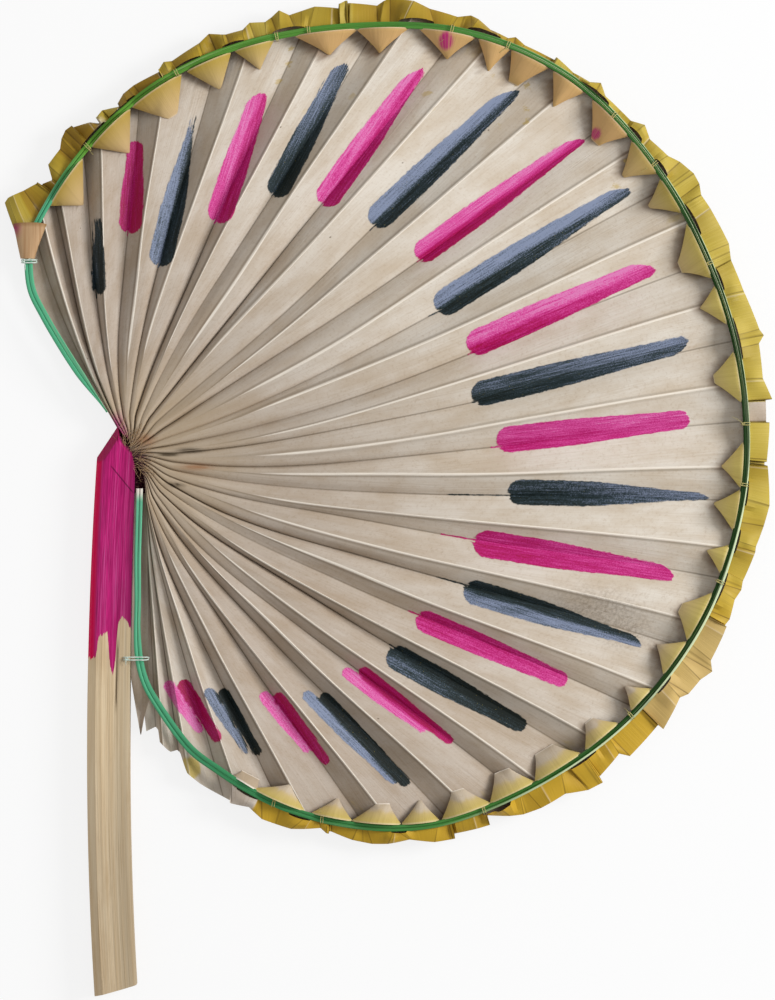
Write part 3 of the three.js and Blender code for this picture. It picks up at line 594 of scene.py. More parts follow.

# brush strokes: inner end x, y, outer end x, y, half width, taper, dryness, thinness with painted sheen of the left and
# the right half
brushStrokes = [
    (-103.6, 53.5, -104.2, 83.5, 3.0, 0.4, 0.5, 0.3, 0.1), (-91.0, 78.7, -89.0, 113.6, 4.8, 0.28, 0.18, 0.32, 0.05),
    (-78.9, 65.4, -65.0, 126.5, 5.0, 0.8, 0.2, 0.85, 0.2), (-55.4, 83.1, -39.1, 133.6, 5.4, 0.28, 0.14, 0.8, 0.35),
    (-32.2, 93.7, -5.0, 146.3, 5.0, 0.36, 0.2, 0.55, 0.25), (-12.6, 90.3, 25.9, 144.6, 5.3, 0.42, 0.12, 0.88, 0.38),
    (7.7, 82.3, 64.2, 136.0, 5.5, 0.35, 0.16, 0.97, 0.3), (25.9, 68.7, 92.0, 116.7, 4.9, 0.45, 0.14, 0.86, 0.2),
    (33.9, 47.9, 110.8, 96.5, 5.7, 0.45, 0.14, 0.97, 0.28), (46.7, 32.1, 119.7, 64.4, 5.4, 0.28, 0.12, 0.92, 0.34),
    (48.5, 12.0, 134.0, 33.0, 5.2, 0.32, 0.1, 0.6, 0.32), (58.6, -6.2, 133.3, 2.3, 5.4, 0.26, 0.1, 0.66, 0.48),
    (63.0, -27.1, 144.0, -28.9, 5.2, 0.7, 0.1, 0.55, 0.38), (49.3, -47.5, 128.4, -60.3, 5.6, 0.4, 0.1, 0.45, 0.36),
    (45.3, -66.7, 116.5, -88.4, 5.1, 0.55, 0.14, 0.15, 0.78), (25.9, -78.3, 84.4, -103.4, 4.6, 0.26, 0.1, 0.36, 0.48),
    (14.3, -92.6, 67.6, -121.8, 5.2, 0.35, 0.1, 0.0, 0.3), (-1.9, -98.6, 37.5, -129.8, 5.2, 0.48, 0.12, 0.18, 0.85),
    (-17.6, -108.2, 19.4, -146.6, 5.2, 0.4, 0.14, 0.0, 0.88),
    (-35.2, -108.2, -13.2, -137.8, 5.2, 0.4, 0.12, 0.12, 0.92),
    (-57.2, -106.4, -41.0, -134.0, 5.0, 0.45, 0.22, 0.0, 0.75),
    (-73.6, -103.2, -57.4, -128.4, 5.5, 0.3, 0.16, 0.12, 0.9)]

# by a stroke's place in the list: thin paint's run along the crease, slant of the outer end, thinning along the stroke
strokeRunOut = {6: 4.0, 8: 6.0, 11: 4.0, 12: 27.0, 13: 15.0, 14: 14.0, 15: 6.0}
strokeSlant = {3: 0.8, 4: 0.9, 5: 1.6, 6: 1.6, 7: 1.9, 8: 1.8, 9: 1.3, 10: -0.8, 12: 1.6, 13: 0.9, 14: 1.2}
strokeFade = {3: 0.12, 4: 0.24, 5: 0.1, 6: 0.1, 8: 0.1, 9: 0.1, 10: 0.14, 12: 0.2, 13: 0.1,
              16: -0.16, 17: 0.0, 18: 0.0, 20: 0.0}
# strokes from twoPasses on are two passes side by side; none is the gap where there is no stroke
brushForm = {"twoPasses": 17, "runOut": 2.5, "fade": 0.06, "notch": 1.8, "none": 30.0}

leafForm = {"rows": 112, "half": 0.28, "steep": 2.2, "hemSheet": 0.26, "tabRise": 5.8, "length": 235}
halfSteps = np.array([0, 0.025, 0.06, 0.12, 0.21, 0.33, 0.47, 0.62, 0.75, 0.86, 0.94, 1.0])
leafColumns = np.concatenate([halfSteps / 2, 1 - halfSteps[-2::-1] / 2])

# folds and stains near the stalk head; a stain is its middle x, y and its half lengths along and across
hubForm = {
    "rootReach": 0.03, "bow": 2.4, "uneven": 0.11,
    "hubDark": [[-66.8, -10.3, 4.4, 0.9], [-75.5, -12.0, 3.5, 0.6], [-72.6, -24.2, 2.6, 0.7]],
    "hubRust": [[-64.2, -17.0, 5.4, 1.2], [-85.0, -6.2, 3.6, 2.2]],
    "smear": [[96.0, -74.0, 17.0, 7.0], [110.0, -84.0, 9.0, 6.0]],
    "lowPaint": [[-66.8, -139.0, 5.0, 5.4]],
}


def spots(x, y, listed):      # sum of bells: e to the minus squared distances over the half lengths
    return sum(np.exp(-((x - cx) / wx) ** 2 - ((y - cy) / wy) ** 2) for cx, cy, wx, wy in listed)


def outlineReach(angle):      # straight runs between the outline's marks
    return np.interp(-angle, -rimOutline[:, 0], rimOutline[:, 1])


def bladeEnd(place):      # the t at which a line leaves the outline of the rim
    def beyond(t):      # distance outside the hoop, against the least reach of the outline close by
        x, y = foldLine(place, t)
        angle = np.arctan2(y, x)
        reach = outlineReach(np.degrees(angle) + np.linspace(-0.3, 0.3, 5)[:, None]).min(0) - 0.45
        return np.hypot(x, y) - hoopRadius(angle) > reach
    return halved(place.shape, 0.6, beyond)


def hemHue(angle):      # ochre at the upper left, bright yellow at the right, golden below
    return 0.05 + 0.4 * ease(125, 95, angle) + 0.5 * ease(60, 10, angle) - 0.25 * ease(-40, -85, angle)


def brushPass(run, side, middle, half, begin, end, taper):      # distance to a round-ended bar, narrowed to its end
    narrow = taper * ease(0.3, 1.0, run / end)
    over = np.maximum(0, begin + half - run) + np.maximum(0, run - end + 0.6 * half)
    return np.hypot(side - middle * (1 - 0.5 * narrow), over) - half * (1 - narrow)


# signed distance to a tapered capsule, notched and run out along the crease, or to two passes side by side
def strokeGap(x, y, count, across):
    x0, y0, x1, y1, wide, taper, dry, left, right = brushStrokes[count]
    dx, dy = x1 - x0, y1 - y0
    length = np.hypot(dx, dy)
    run = ((x - x0) * dx + (y - y0) * dy) / length
    side = ((x - x0) * dy - (y - y0) * dx) / length
    if count < brushForm["twoPasses"]:
        radius = wide * (1 - taper * ease(0.3, 1.0, run / length))
        notch = brushForm["notch"] * np.clip(1 - np.abs(across) / 1.3, 0, 1)
        lean = strokeSlant.get(count, 0.0)
        over = np.maximum(0, 0.75 * wide - run + notch)
        over = over + np.maximum(0, run - length + 1.5 + np.maximum(0, -lean * (side - radius * 0.4 * np.sign(lean))))
        runOut = strokeRunOut.get(count, brushForm["runOut"])
        thread = np.maximum(np.abs(across) - 0.3, np.maximum(-run - runOut, run - length * 0.5))
        gap = np.minimum(np.hypot(side, over) - radius, thread)
        # paler half: partly thin paint, partly painted sheen
        thin = mixed(left, right, ease(-1.0, 1.0, side))
    else:
        aside = 0.5 if count >= 20 else 0.4
        paleEnd = 0.8 if count % 2 else 0.94
        deep = brushPass(run, side, -0.43 * wide, 0.5 * wide, 0.06 * length, 1.01 * length, 0.4 * taper)
        pale = brushPass(run, side, aside * wide, 0.45 * wide, -0.04 * length, paleEnd * length, taper)
        gap = np.minimum(deep, pale)
        thin = np.where(deep < pale, left, right)
    return {"strokeGap": gap, "strokeRun": run, "strokeSide": side,
            "strokeDry": dry * (0.35 + 1.3 * ease(0.4, 1.0, run / length)),
            "strokeThin": thin + strokeFade.get(count, brushForm["fade"]) * (2 * ease(0.1, 0.85, run / length) - 1),
            "ink": (count + 1) % 2}


def strokeFields(x, y, number, across):      # the nearest of a leaflet's own stroke and its neighbours' strokes
    best = {"strokeGap": np.full(x.shape, brushForm["none"])}
    for count in range(number - 4, number - 1):
        if 0 <= count < len(brushStrokes):
            found = strokeGap(x, y, count, across if count == number - 3 else 20.0)
            nearer = found["strokeGap"] < best["strokeGap"]
            best = {key: np.where(nearer, found[key], best.get(key, 0)) for key in found}
    return best


# painted shadow of the folded points: largest of three half-plane distances to each outline, moved away from the lamp,
# wide and soft, then close
def paintedShadowOf(x, y):
    dark = np.zeros(x.shape)
    for left, tip, right, depth, _ in rimTabs:
        angles = np.radians([left, tip, right])
        radius = hoopLine(angles) - np.array([1.0, depth, 1.0])
        outline = np.column_stack([radius * np.cos(angles), radius * np.sin(angles)])
        for shift, soft, deep in ((0.29, 1.5, 1.0), (0.09, 0.6, 1.3)):
            corners = outline - np.array([shift * 1.12, shift * 0.3]) * depth
            far = np.full(x.shape, -99.0)
            for n in range(3):
                ax, ay = corners[n]
                bx, by = corners[(n + 1) % 3]
                far = np.maximum(far, ((x - ax) * (by - ay) - (y - ay) * (bx - ax)) / np.hypot(bx - ax, by - ay))
            dark = np.maximum(dark, deep * ease(soft, -soft, far))
    return dark


# folds leave the root fanned wider than they end: bow over the pleat's width there, plus a sine of the place
def swayed(place, t):
    pleatWide = 1.1 + 33 * t
    bow = hubForm["bow"] * (1.4 * ease(7, 16, place) - 0.4) * between(0, 0.05, 0.12, 0.42, t) / pleatWide
    uneven = hubForm["uneven"] * np.sin(4.1 * place + 0.6 + 3 * t) * between(0.02, 0.12, 0.2, 0.62, t)
    return place + between(-1, 3, 21, 25, place) * (bow + uneven)


def bladeShell(number):      # pleat walls on a grid of places across and shares along, thickened upright
    place = number - 2 + leafColumns
    rows = np.linspace(0, 1, leafForm["rows"]) ** 1.08
    inner = np.clip(place, number - 2 + 1e-6, number - 1 - 1e-6)
    end = bladeEnd(inner)
    start = -hubForm["rootReach"] * ease(-1.6, 1.0, inner)
    t = mixed(start[None, :], end[None, :], rows[:, None])
    grid = np.broadcast_to(inner, t.shape)
    x, y = foldLine(swayed(grid, t), t)
    z = bladeHeight(grid, t)
    vx, vy = foldLine(swayed(np.full(t.shape, number - 1.5), t), t)
    fromValley = np.hypot(x - vx, y - vy)
    s = fromRidge(grid)
    runLength = fromValley / np.maximum(1 - s, 0.02)
    runLength = np.where(s > 0.9, runLength[:, [5]], runLength)
    slope = pleatDepth(grid, t) / np.maximum(runLength, 0.5)
    half = leafForm["half"] * np.minimum(leafForm["steep"], np.hypot(1, slope))
    angle = np.degrees(np.arctan2(y, x))
    inside = hoopRadius(np.radians(angle)) - np.hypot(x, y)
    splash = 0.55 * ease(24, 4, inside) * (number > 2) * (number < 24)
    edges = (grid < -0.6) | (grid > 24.6)
    farSide = ease(11, 13.5, grid)
    fields = {
        "along": t * leafForm["length"], "across": np.where(leafColumns < 0.5, -1, 1) * fromValley, "seed": number,
        # distance to the ridge, for the painted highlight and the painted shade beside it
        "ridgeGap": runLength * s + 3 * edges + 2.0 * ease(0.25, 0.02, t),
        # painted shade in the valley creases, less towards the root
        "valleyInk": mixed(0.5 * np.sin(2.3 * number) ** 2, 0.5, ease(0.1, 0.5, t)),
        # painted shade on the pleat wall away from the lamp, switching sides where the lamp's side does
        "dust": np.where(grid - np.floor(grid) > 0.5, 1 - farSide, farSide),
        "drip": ease(38, 24, inside) * between(30, 45, 100, 112, angle),
        # painted shadow of the folded points, and painted shade beyond the hoop under the hem
        "lee": np.maximum(paintedShadowOf(x, y), ease(0.6, -0.8, inside) * (number <= plan["hemmed"])),
        # painted falloff of light, darker towards the lower left
        "age": ease(85, -75, 0.8 * x + 0.5 * y) * (1 - 0.6 * ease(20.5, 23, grid)),
        "hubDark": np.minimum(1, 1.8 * spots(x, y, hubForm["hubDark"])),
        "hubRust": np.minimum(0.8, 1.1 * spots(x, y, hubForm["hubRust"])),
        "smear": np.minimum(1, 1.2 * spots(x, y, hubForm["smear"])),
        "pinkStain": ease(3.5, 0.5, grid) * ease(0.085, 0.03, t),
        # dark crimson at the roots: paint stain and painted shade of the gap by the stalk
        "rootStain": ease(0.016, -0.008, t) * ease(7, 13, grid),
        "hemPaint": splash - 0.3 + 1.7 * spots(x, y, hubForm["lowPaint"]),
        "hemHue": hemHue(angle) + 0.2, "hemTan": 0.3}
    fields.update(strokeFields(x, y, number, fields["across"]))
    frontOnly = ("lee", "hubDark", "hubRust", "pinkStain", "rootStain", "smear", "drip", "valleyInk", "dust")
    bare = dict.fromkeys(frontOnly, 0.0)
    bare.update(strokeGap=brushForm["none"], ridgeGap=30.0, hemPaint=splash - 0.7)
    return shellBetween(np.stack([x, y, z + half], -1), np.stack([x, y, z - half], -1), fields, bare)


def archLift(angle):      # half sine bumps over the arches
    lift = np.zeros(np.shape(angle))
    for left, right, high in rimArches:
        f = np.clip((left - angle) / (left - right), 0, 1)
        lift = np.maximum(lift, high * np.sin(np.pi * f) ** 0.7)
    return lift


def plainFields(angle, paint, along, across, number):      # fields of a hem grid, which carries no stroke
    return {"along": along, "across": across, "seed": number + 40, "ridgeGap": 30.0, "valleyInk": 0.0,
            "hemPaint": paint, "hemHue": hemHue(angle), "strokeGap": brushForm["none"]}


# brighter turns of the hem, degrees from and to
hemSlivers = [(148.5, 145.2), (141.0, 137.2), (130.5, 126.6), (119.0, 116.9), (104.9, 102.4), (92.3, 90.4),
              (61.4, 58.0)]
hemForm = {"firstAngle": 147.6, "inset": 0.5, "archInset": 1.7, "tucked": -0.6, "ridgeRise": 1.5, "zigzag": 0.75,
           "lap": 1.7, "creaseSlant": 1.5}


# hem from the rim's fold back to the hoop: reach from the outline, inner edge lifted over arches
def bandShell(number):
    form, allMarks = hemForm, rimOutline[:, 0]
    ends = np.minimum(form["firstAngle"], np.interp([number - 2 + 1e-6, number - 1 - 1e-6], placeTable, angleTable))
    marks = allMarks[(allMarks < ends[0]) & (allMarks > ends[1])]
    beside = np.concatenate([marks - 0.14, marks, marks + 0.14])
    beside = beside[(beside < ends[0]) & (beside > ends[1])]
    angle = np.unique(np.concatenate([np.linspace(ends[0], ends[1], 22), beside]))[::-1]
    v = np.array([0, 0.0, 0.06, 0.15, 0.3, 0.48, 0.66, 0.84, 1.0])[:, None]
    place = np.interp(-angle, -angleTable, placeTable)
    ridge = 1 - fromRidge(np.clip(place, number - 2 + 1e-6, number - 1 - 1e-6))
    reach = outlineReach(angle)
    # creases lean to alternate sides, less at the upper right and the upper left
    upDown = np.arange(len(allMarks)) % 2 * 2.0 - 1
    room = np.minimum(np.diff(-allMarks, prepend=-allMarks[0] - 3), np.diff(-allMarks, append=3 - allMarks[-1]))
    lean = np.interp(-angle, -allMarks, upDown * np.minimum(0.4 * room, form["creaseSlant"]))
    steady = np.maximum(between(-35, -15, 50, 75, angle), ease(98, 110, angle))
    lean = lean * mixed(1, 0.25, steady) * ease(146, 142, angle)
    lift = archLift(angle + lean)
    push = hoopLine(np.radians(angle + lean)) - hoopRadius(np.radians(angle + lean))
    lowest = outlineReach(angle + np.linspace(-1.4, 1.4, 9)[:, None]).min(0)
    innerEdge = np.minimum(np.where(lift > 0.05, form["archInset"] + 0.55 * lift, form["tucked"]) + push, lowest - 1.0)
    outside = mixed(reach, innerEdge, v)
    outside[0] -= form["inset"]
    rimTop = bladeHeight(place, placeOnLine(place, reach - form["inset"])) + 0.3
    start = np.maximum(rimTop + 0.7, 6.2 + 2.4 * ridge)
    panel = np.searchsorted(-stepAngles, -angle)
    edges = np.concatenate([[150], stepAngles, [-130]])
    within = (edges[panel] - angle) / (edges[panel] - edges[panel + 1])
    lap = mixed(np.append([0.0], stepsUp)[panel], np.append(1.0 - stepsUp, [0.0])[panel], within) * form["lap"]
    zigzag = np.interp(-angle, -allMarks, upDown)
    finish = np.where(lift > 0.05, hemTop + 0.8 + 0.8 * lift, hemTop - 0.35)
    bend = np.sin(np.pi * np.minimum(v * 1.1, 1))
    crest = form["ridgeRise"] * ridge - 0.5 + form["zigzag"] * zigzag
    z = mixed(start, finish, v ** 0.8) + crest * bend + lap * (1 - 0.6 * v)
    z[0] = rimTop
    slanted = angle + v * (5 * ease(143, 147.5, angle) + lean)
    radius = hoopRadius(np.radians(slanted)) + outside
    x, y = radius * np.cos(np.radians(slanted)), radius * np.sin(np.radians(slanted))
    middle = np.stack([x, y, z], -1)
    raw = 0.8 * ease(-104.3, -106, angle) + 0.85 * (np.abs(angle - 1.9) < 1.4)
    paint = 1.0 - raw - 0.1 * v
    fromValley = np.radians(np.interp(number - 1.5, placeTable, angleTable) - angle) * 160
    fields = plainFields(angle, paint, outside + 60, fromValley, number)
    sliver = sum((angle < a) & (angle > b) for a, b in hemSlivers)
    turn = np.searchsorted(-allMarks, -angle + 1e-6) % 2
    fields.update({
        # every other facet lighter in hue by the zigzag, as painted light
        "hemHue": np.minimum(fields["hemHue"] + 0.2 * np.sin(panel * 2.4 + 1) + 0.14 * zigzag + 0.5 * sliver, 0.9),
        "age": raw, "gold": 0.8 * ease(-10, -45, angle),
        "hemTan": 0.45 * (np.sin(panel * 2.9 + 0.5) > 0.3) * between(-80, -60, -20, 5, angle),
        # painted shade: dark creases along the folds' edges
        "crease": np.isin(angle, marks) * (1 - 0.4 * v),
        # painted shade on every other facet of the hem
        "lee": 0.5 * turn * ease(0.9, -0.9, zigzag) * (0.35 + 0.65 * v),
        # painted highlight on the pleat ridges; painted shade in the valleys
        "ridgeGap": (1 - ridge) * 14 + 0.15, "valleyInk": 0.5})
    thick = np.array([0, 0, leafForm["hemSheet"]])
    return shellBetween(middle + thick, middle - thick, fields)


def tabShell(tab, number):      # half cone from a tip that lies on the leaf to an arched mouth beside the hoop
    left, tip, right, depth, blunt = tab
    halfWide = np.radians(left - right) * 75
    w = np.linspace(-1, 1, 25)[None, :]
    b = np.append(np.linspace(0, 1, 14) ** 0.9, 1.0)[:, None]
    pinched = w * b ** (0.16 * ease(112, 100, tip))
    mouthAngle = np.radians(np.interp(pinched, [-1, 0, 1], [left, (left + right) / 2, right]))
    tipAngle = np.radians(tip - w * np.maximum(blunt, 0.12))
    mouth = hoopLine(mouthAngle) - 1.4 - 0.3 * (1 - w ** 2)
    mouth[-1] += 0.3
    inner = hoopRadius(tipAngle) - depth
    x = mixed(inner * np.cos(tipAngle), mouth * np.cos(mouthAngle), b)
    y = mixed(inner * np.sin(tipAngle), mouth * np.sin(mouthAngle), b)
    under = bladeHeight(*placeAt(x, y))
    shape = (1 - w ** 2) ** 0.7
    rise = min(leafForm["tabRise"], 0.72 * halfWide) * (0.9 + 0.15 * np.sin(tip * 1.9))
    sideZ = mixed(under, np.maximum(under, hemTop - 0.6), b ** 0.7) + 0.45
    z = np.maximum(sideZ, mixed(under[:1].mean(), hemTop - 0.4, b ** 0.8) + 0.2) + rise * shape * b ** 0.75
    z[-1] = hemTop - 1.0
    middle = np.stack([x, y, z], -1)
    raw = ease(-25, -45, tip) * 1.1
    paint = 1.0 - raw * (1 - b) ** 1.5 - 1.2 * (tip < -106)
    fields = plainFields(tip, paint, b * depth, 20 + w * halfWide * (0.3 + 0.7 * b), number)
    atTop, atRight = between(35, 50, 98, 108, tip), between(-40, -20, 15, 32, tip)
    atLeft, below = ease(108, 118, tip), ease(-20, -40, tip)
    tan = (0.3 + 0.5 * atTop + 0.2 * atLeft + 0.3 * below) * (1 - 0.75 * b * (1 - atTop))
    fields.update({
        # painted highlight: pale line along the mouth and along blunt tips
        "ridgeGap": np.minimum((1 - b) * depth * 0.9 + 0.05, b * depth * 0.8 + (0.1 if blunt > 0.5 else 9.0)),
        "hemTan": tan + 0.45 * (1 - b) - 0.3 * atRight - 0.5 * atTop * (1 - b) ** 2,
        "age": float(tip < -106), "peach": np.maximum(atTop, 0.3 * atLeft), "hemHue": fields["hemHue"] + 0.25,
        "dab": sum(ease(reach, 0.6 * reach, np.hypot((x - cx) * 1.2, y - cy)) for cx, cy, reach in tabDabs)})
    gx, gy = np.gradient(middle, axis=0), np.gradient(middle, axis=1)
    normal = np.cross(gx, gy)
    normal /= np.linalg.norm(normal, axis=-1, keepdims=True) + 1e-9
    normal *= np.sign(normal[..., 2:3] + 1e-9)
    half = leafForm["hemSheet"]
    return shellBetween(middle + normal * half, middle - normal * half, fields)


flapForm = {"top": -26.5, "tip": [-87.0, -125.4], "narrowFrom": -103.0, "half": 0.25,
            "under": [[-125.4, 4.5], [-118, 5.8], [-110, 8.0], [-93, 7.2], [-69, 6.4], [-26, 5.6]]}


def stalkEdge(y, least, headBow):      # parabola about the bow's middle, with its own bow towards the head
    bow = np.where(y > plan["stalkMiddle"], headBow, plan["footBow"])
    return least + bow * ((y - plan["stalkMiddle"]) / 100) ** 2


def stalkLeft(y):      # the left edge's parabola
    return stalkEdge(y, plan["stalkLeft"], plan["leftBow"])


def stalkRight(y):      # the right edge's parabola
    return stalkEdge(y, plan["stalkRight"], plan["rightBow"])


# last half pleat: a sliver from the stalk's flank to the hoop, narrowed straight to a hanging point
def flapShell():
    y = np.linspace(flapForm["top"], flapForm["tip"][1], 90)[:, None]
    w = np.linspace(0, 1, 9)[None, :]
    narrow = np.clip((flapForm["narrowFrom"] - y) / (flapForm["narrowFrom"] - flapForm["tip"][1]), 0, 1)
    left = mixed(stalkRight(y) + 0.2, flapForm["tip"][0], narrow)
    right = np.maximum(left + 0.3, stalkRight(y) + np.interp(y, *np.array(flapForm["under"]).T))
    x = mixed(left, right, w)
    z = 5.2 + 1.4 * w - 0.9 * np.sin(np.pi * w) + 0.2 * np.sin(y / 7 + 3 * w)
    y = y + 0 * w
    # the sliver takes the painted falloff of light and the painted wall shade in full
    fields = {"along": -y, "across": 20 + x, "seed": 27.0, "ridgeGap": 30.0, "strokeGap": brushForm["none"],
              "hemPaint": -1.0, "age": 1.0, "dust": 1.0}
    return shellBetween(np.stack([x, y, z + flapForm["half"]], -1), np.stack([x, y, z - flapForm["half"]], -1), fields)


tabDabs = [(36.8, 155.4, 4.2), (97.7, 118.1, 2.8)]      # touches of paint on the folded points: middle x, y and reach
tabPlaces = np.interp([-tab[1] for tab in rimTabs], -angleTable, placeTable)
for number in range(1, plan["leaflets"] + 1):
    shells = [bladeShell(number)]
    if number <= plan["hemmed"]:
        shells.append(bandShell(number))
    for tab, place in zip(rimTabs, tabPlaces):
        if np.clip(np.floor(place) + 2, 1, plan["hemmed"]) == number:
            shells.append(tabShell(tab, number))
    if number == plan["leaflets"]:
        shells.append(flapShell())
    putPiece(f"leaf_{number:02d}", shells, leafFinish, [f"leaflet_{number:02d}"], sharp=28)
print("leaflets made")

# hoop of split cane
hoopForm = {
    "edgeStops": [0.085, 0.13, 0.2, 0.31, 0.43, 0.55, 0.66], "edgeAway": 1.0, "neckHigh": 9.6,
    "rimStart": 147, "rimEnd": -117, "rimStep": 5.5,
    "corner": [[-4.1, -16.6], [-3.9, -8.9]],
    "stalkRun": [[0.166, 10.2, 9.5], [0.235, 6.0, 9.5], [0.314, 3.6, 9.4], [0.409, 2.7, 9.3],
                 [0.513, 2.7, 9.2], [0.653, 2.4, 9.0], [0.792, 2.3, 8.8], [0.902, 2.0, 8.6]],
    "strip": [1.4, 1.4], "apart": 0.68, "thirdRun": [170, 520], "thirdStrip": [0.7, 0.5], "thirdLift": 0.6,
    "backStrip": [1.5, 1.4], "backApart": 0.75, "backLevel": 1.7,
    "loose": [[0.0, 0.03, 0.07, 0.095, 0.24], [0.82, 0.86, 0.925, 0.945, 0.22]],      # shares of the route, widening
}
strandLevel = hemTop + 1.05      # middle of the front splits


def smoothRun(points, each):      # centripetal Catmull-Rom curve through the points, by the pyramid of straight blends
    points = np.asarray(points, float)
    points = np.concatenate([2 * points[:1] - points[1:2], points, 2 * points[-1:] - points[-2:-1]])
    knots = np.concatenate([[0], np.cumsum(np.linalg.norm(np.diff(points, axis=0), axis=1) ** 0.5)])
    f = np.arange(each) / each
    k0, k1, k2, k3 = (knots[n:len(knots) - 3 + n, None, None] for n in range(4))
    p0, p1, p2, p3 = (points[n:len(points) - 3 + n, None] for n in range(4))
    t = k1 + (k2 - k1) * f[None, :, None]
    a1 = p0 + (p1 - p0) * (t - k0) / (k1 - k0)
    a2 = p1 + (p2 - p1) * (t - k1) / (k2 - k1)
    a3 = p2 + (p3 - p2) * (t - k2) / (k3 - k2)
    b1 = a1 + (a2 - a1) * (t - k0) / (k2 - k0)
    b2 = a2 + (a3 - a2) * (t - k1) / (k3 - k1)
    curve = b1 + (b2 - b1) * (t - k1) / (k2 - k1)
    return np.concatenate([curve.reshape(-1, 3), points[-2:-1]])


def hoopPoint(degrees):      # polar point on the hoop
    angle = np.radians(degrees)
    radius = hoopLine(angle)
    return np.stack([radius * np.cos(angle), radius * np.sin(angle)], -1)


def frontRoute():      # leaf edge, corner, rim and the run beside the stalk, as one list of points
    t = np.array(hoopForm["edgeStops"])
    x, y = foldLine(np.full(t.shape, -1.0), t)
    xn, yn = foldLine(np.full(t.shape, -1.0), t + 0.01)
    length = np.hypot(xn - x, yn - y)
    away = hoopForm["edgeAway"] * ease(0.05, 0.3, t)
    z = mixed(hoopForm["neckHigh"], strandLevel, ease(0.1, 0.6, t))
    edge = np.stack([x - (yn - y) / length * away, y + (xn - x) / length * away, z], -1)
    turn = np.column_stack([hoopPoint(hoopForm["rimStart"]) + np.array(hoopForm["corner"]), [strandLevel] * 2])
    degrees = np.arange(hoopForm["rimStart"], hoopForm["rimEnd"] - 0.01, -hoopForm["rimStep"])
    low = mixed(strandLevel, hoopForm["stalkRun"][0][2], ease(7.5, 0, degrees - hoopForm["rimEnd"]))
    rim = np.column_stack([hoopPoint(degrees), low])
    share, off, high = np.array(hoopForm["stalkRun"]).T
    down = mixed(hoopPoint(hoopForm["rimEnd"])[1], plan["rootCentre"][1], share)
    return np.concatenate([edge, turn, rim, np.column_stack([stalkRight(down) + off, down, high])])


def splitShell(path, sideways, lift, wide, high, phase, start=0.0):
    # flat rounded strip carried along the route, wandering a little sideways and in width
    count = len(path)
    tangent = np.gradient(path, axis=0)
    tangent /= np.linalg.norm(tangent, axis=1, keepdims=True)
    out = np.column_stack([-tangent[:, 1], tangent[:, 0], np.zeros(count)])
    out /= np.linalg.norm(out, axis=1, keepdims=True)
    along = np.concatenate([[0], np.cumsum(np.linalg.norm(np.diff(path, axis=0), axis=1))])
    wander = 0.14 * np.sin(along / 23) + 0.08 * np.sin(along / 9.1 + 1) + 0.04 * np.sin(along / 13 + phase)
    taper = 0.25 + 0.75 * ease(0, 20, along)
    share = (along + start) / routeLength
    loose = 1 + sum(by * between(*ends, share) for *ends, by in hoopForm["loose"]) * (sideways != 0)
    width = wide * (1 + 0.08 * np.sin(along / 31 + 3 * phase)) / 2 * taper * loose
    wander = wander + sideways * (taper * loose - 1)
    turn = np.linspace(0, 2 * np.pi, 14, endpoint=False)
    cx, cz = np.cos(turn), np.sin(turn)
    px = np.sign(cx) * np.abs(cx) ** 0.6
    pz = np.sign(cz) * np.abs(cz) ** 0.75
    level = lift + 0.12 * np.sin(along / 17 + phase)
    points = path[:, None] + out[:, None] * ((sideways + wander)[:, None] + width[:, None] * px)[..., None]
    points[..., 2] += level[:, None] + high / 2 * pz
    sides = len(turn)
    lines = {"along": along + start, "seed": phase,
             "lip": between(0.28, 0.4, 0.7, 0.78, along / along[-1]) * (sideways > 0),
             "broad": between(0.53, 0.59, 0.74, 0.8, share) * (sideways > 0),
             "edged": between(0.29, 0.34, 0.48, 0.53, share) * (start > 0)}
    fields = {key: np.repeat(np.broadcast_to(values, (count,)), sides) for key, values in lines.items()}
    fields["across"] = np.tile(px, count)
    return facingOut(points.reshape(-1, 3), ringFaces(count, sides, False)), fields


hoopLook = {"mint": "#58b488", "leafGreen": "#6aa53b", "emerald": "#47833a", "deep": "#17360b", "turning": "#3f8f5c",
            "end": "#6cc29b", "pale": "#cfdcb4", "dark": "#0a2b10", "cut": "#e6e0d2"}
hoopStops = [(0.0, "mint"), (0.1, "mint"), (0.128, "leafGreen"), (0.33, "emerald"), (0.45, "deep"), (0.66, "deep"),
             (0.76, "emerald"), (0.86, "turning"), (0.92, "mint"), (1.0, "end")]


def hoopMaterial(routeLength):      # green by the share of the route, streaked along, with pale lips and a pale cut end
    material, tree, shader = newMaterial("hoop", 0.5, 0.14)
    along, across = field(tree, "along"), field(tree, "across")
    grain = useGroup(tree, fibreGrain, Along=times(tree, along, 0.8), Across=times(tree, across, 1.2),
                     Seed=field(tree, "seed"))
    c = {k: linear(v) for k, v in hoopLook.items()}
    share = calc(tree, "DIVIDE", along, routeLength)
    base = ramp(tree, share, hoopLook, hoopStops)
    base = layer(tree, base, spread(tree, grain["Line"], 0.45, 0.75), 0.45, c["dark"])
    base = layer(tree, base, spread(tree, grain["Streak"], 0.55, 0.75), 0.35, c["pale"])
    edge = plus(tree, across, times(tree, field(tree, "broad"), 0.9))
    lip = times(tree, spread(tree, edge, 0.5, 0.85), field(tree, "lip"))
    bothEdges = times(tree, spread(tree, calc(tree, "ABSOLUTE", across), 0.4, 0.8), field(tree, "edged"))
    lip = calc(tree, "MAXIMUM", lip, bothEdges)
    base = layer(tree, base, lip, spread(tree, grain["Blotch"], 0.3, 0.5, 0.4, 0.95), c["pale"])
    base = tint(tree, spread(tree, share, 0.994, 0.999), base, c["cut"])
    plug(tree, base, shader.inputs["Base Color"])
    plug(tree, spread(tree, grain["Streak"], 0.2, 0.8, 0.4, 0.6), shader.inputs["Roughness"])
    bumped(tree, shader, grain["Line"], 0.0003, 0.5)
    return material


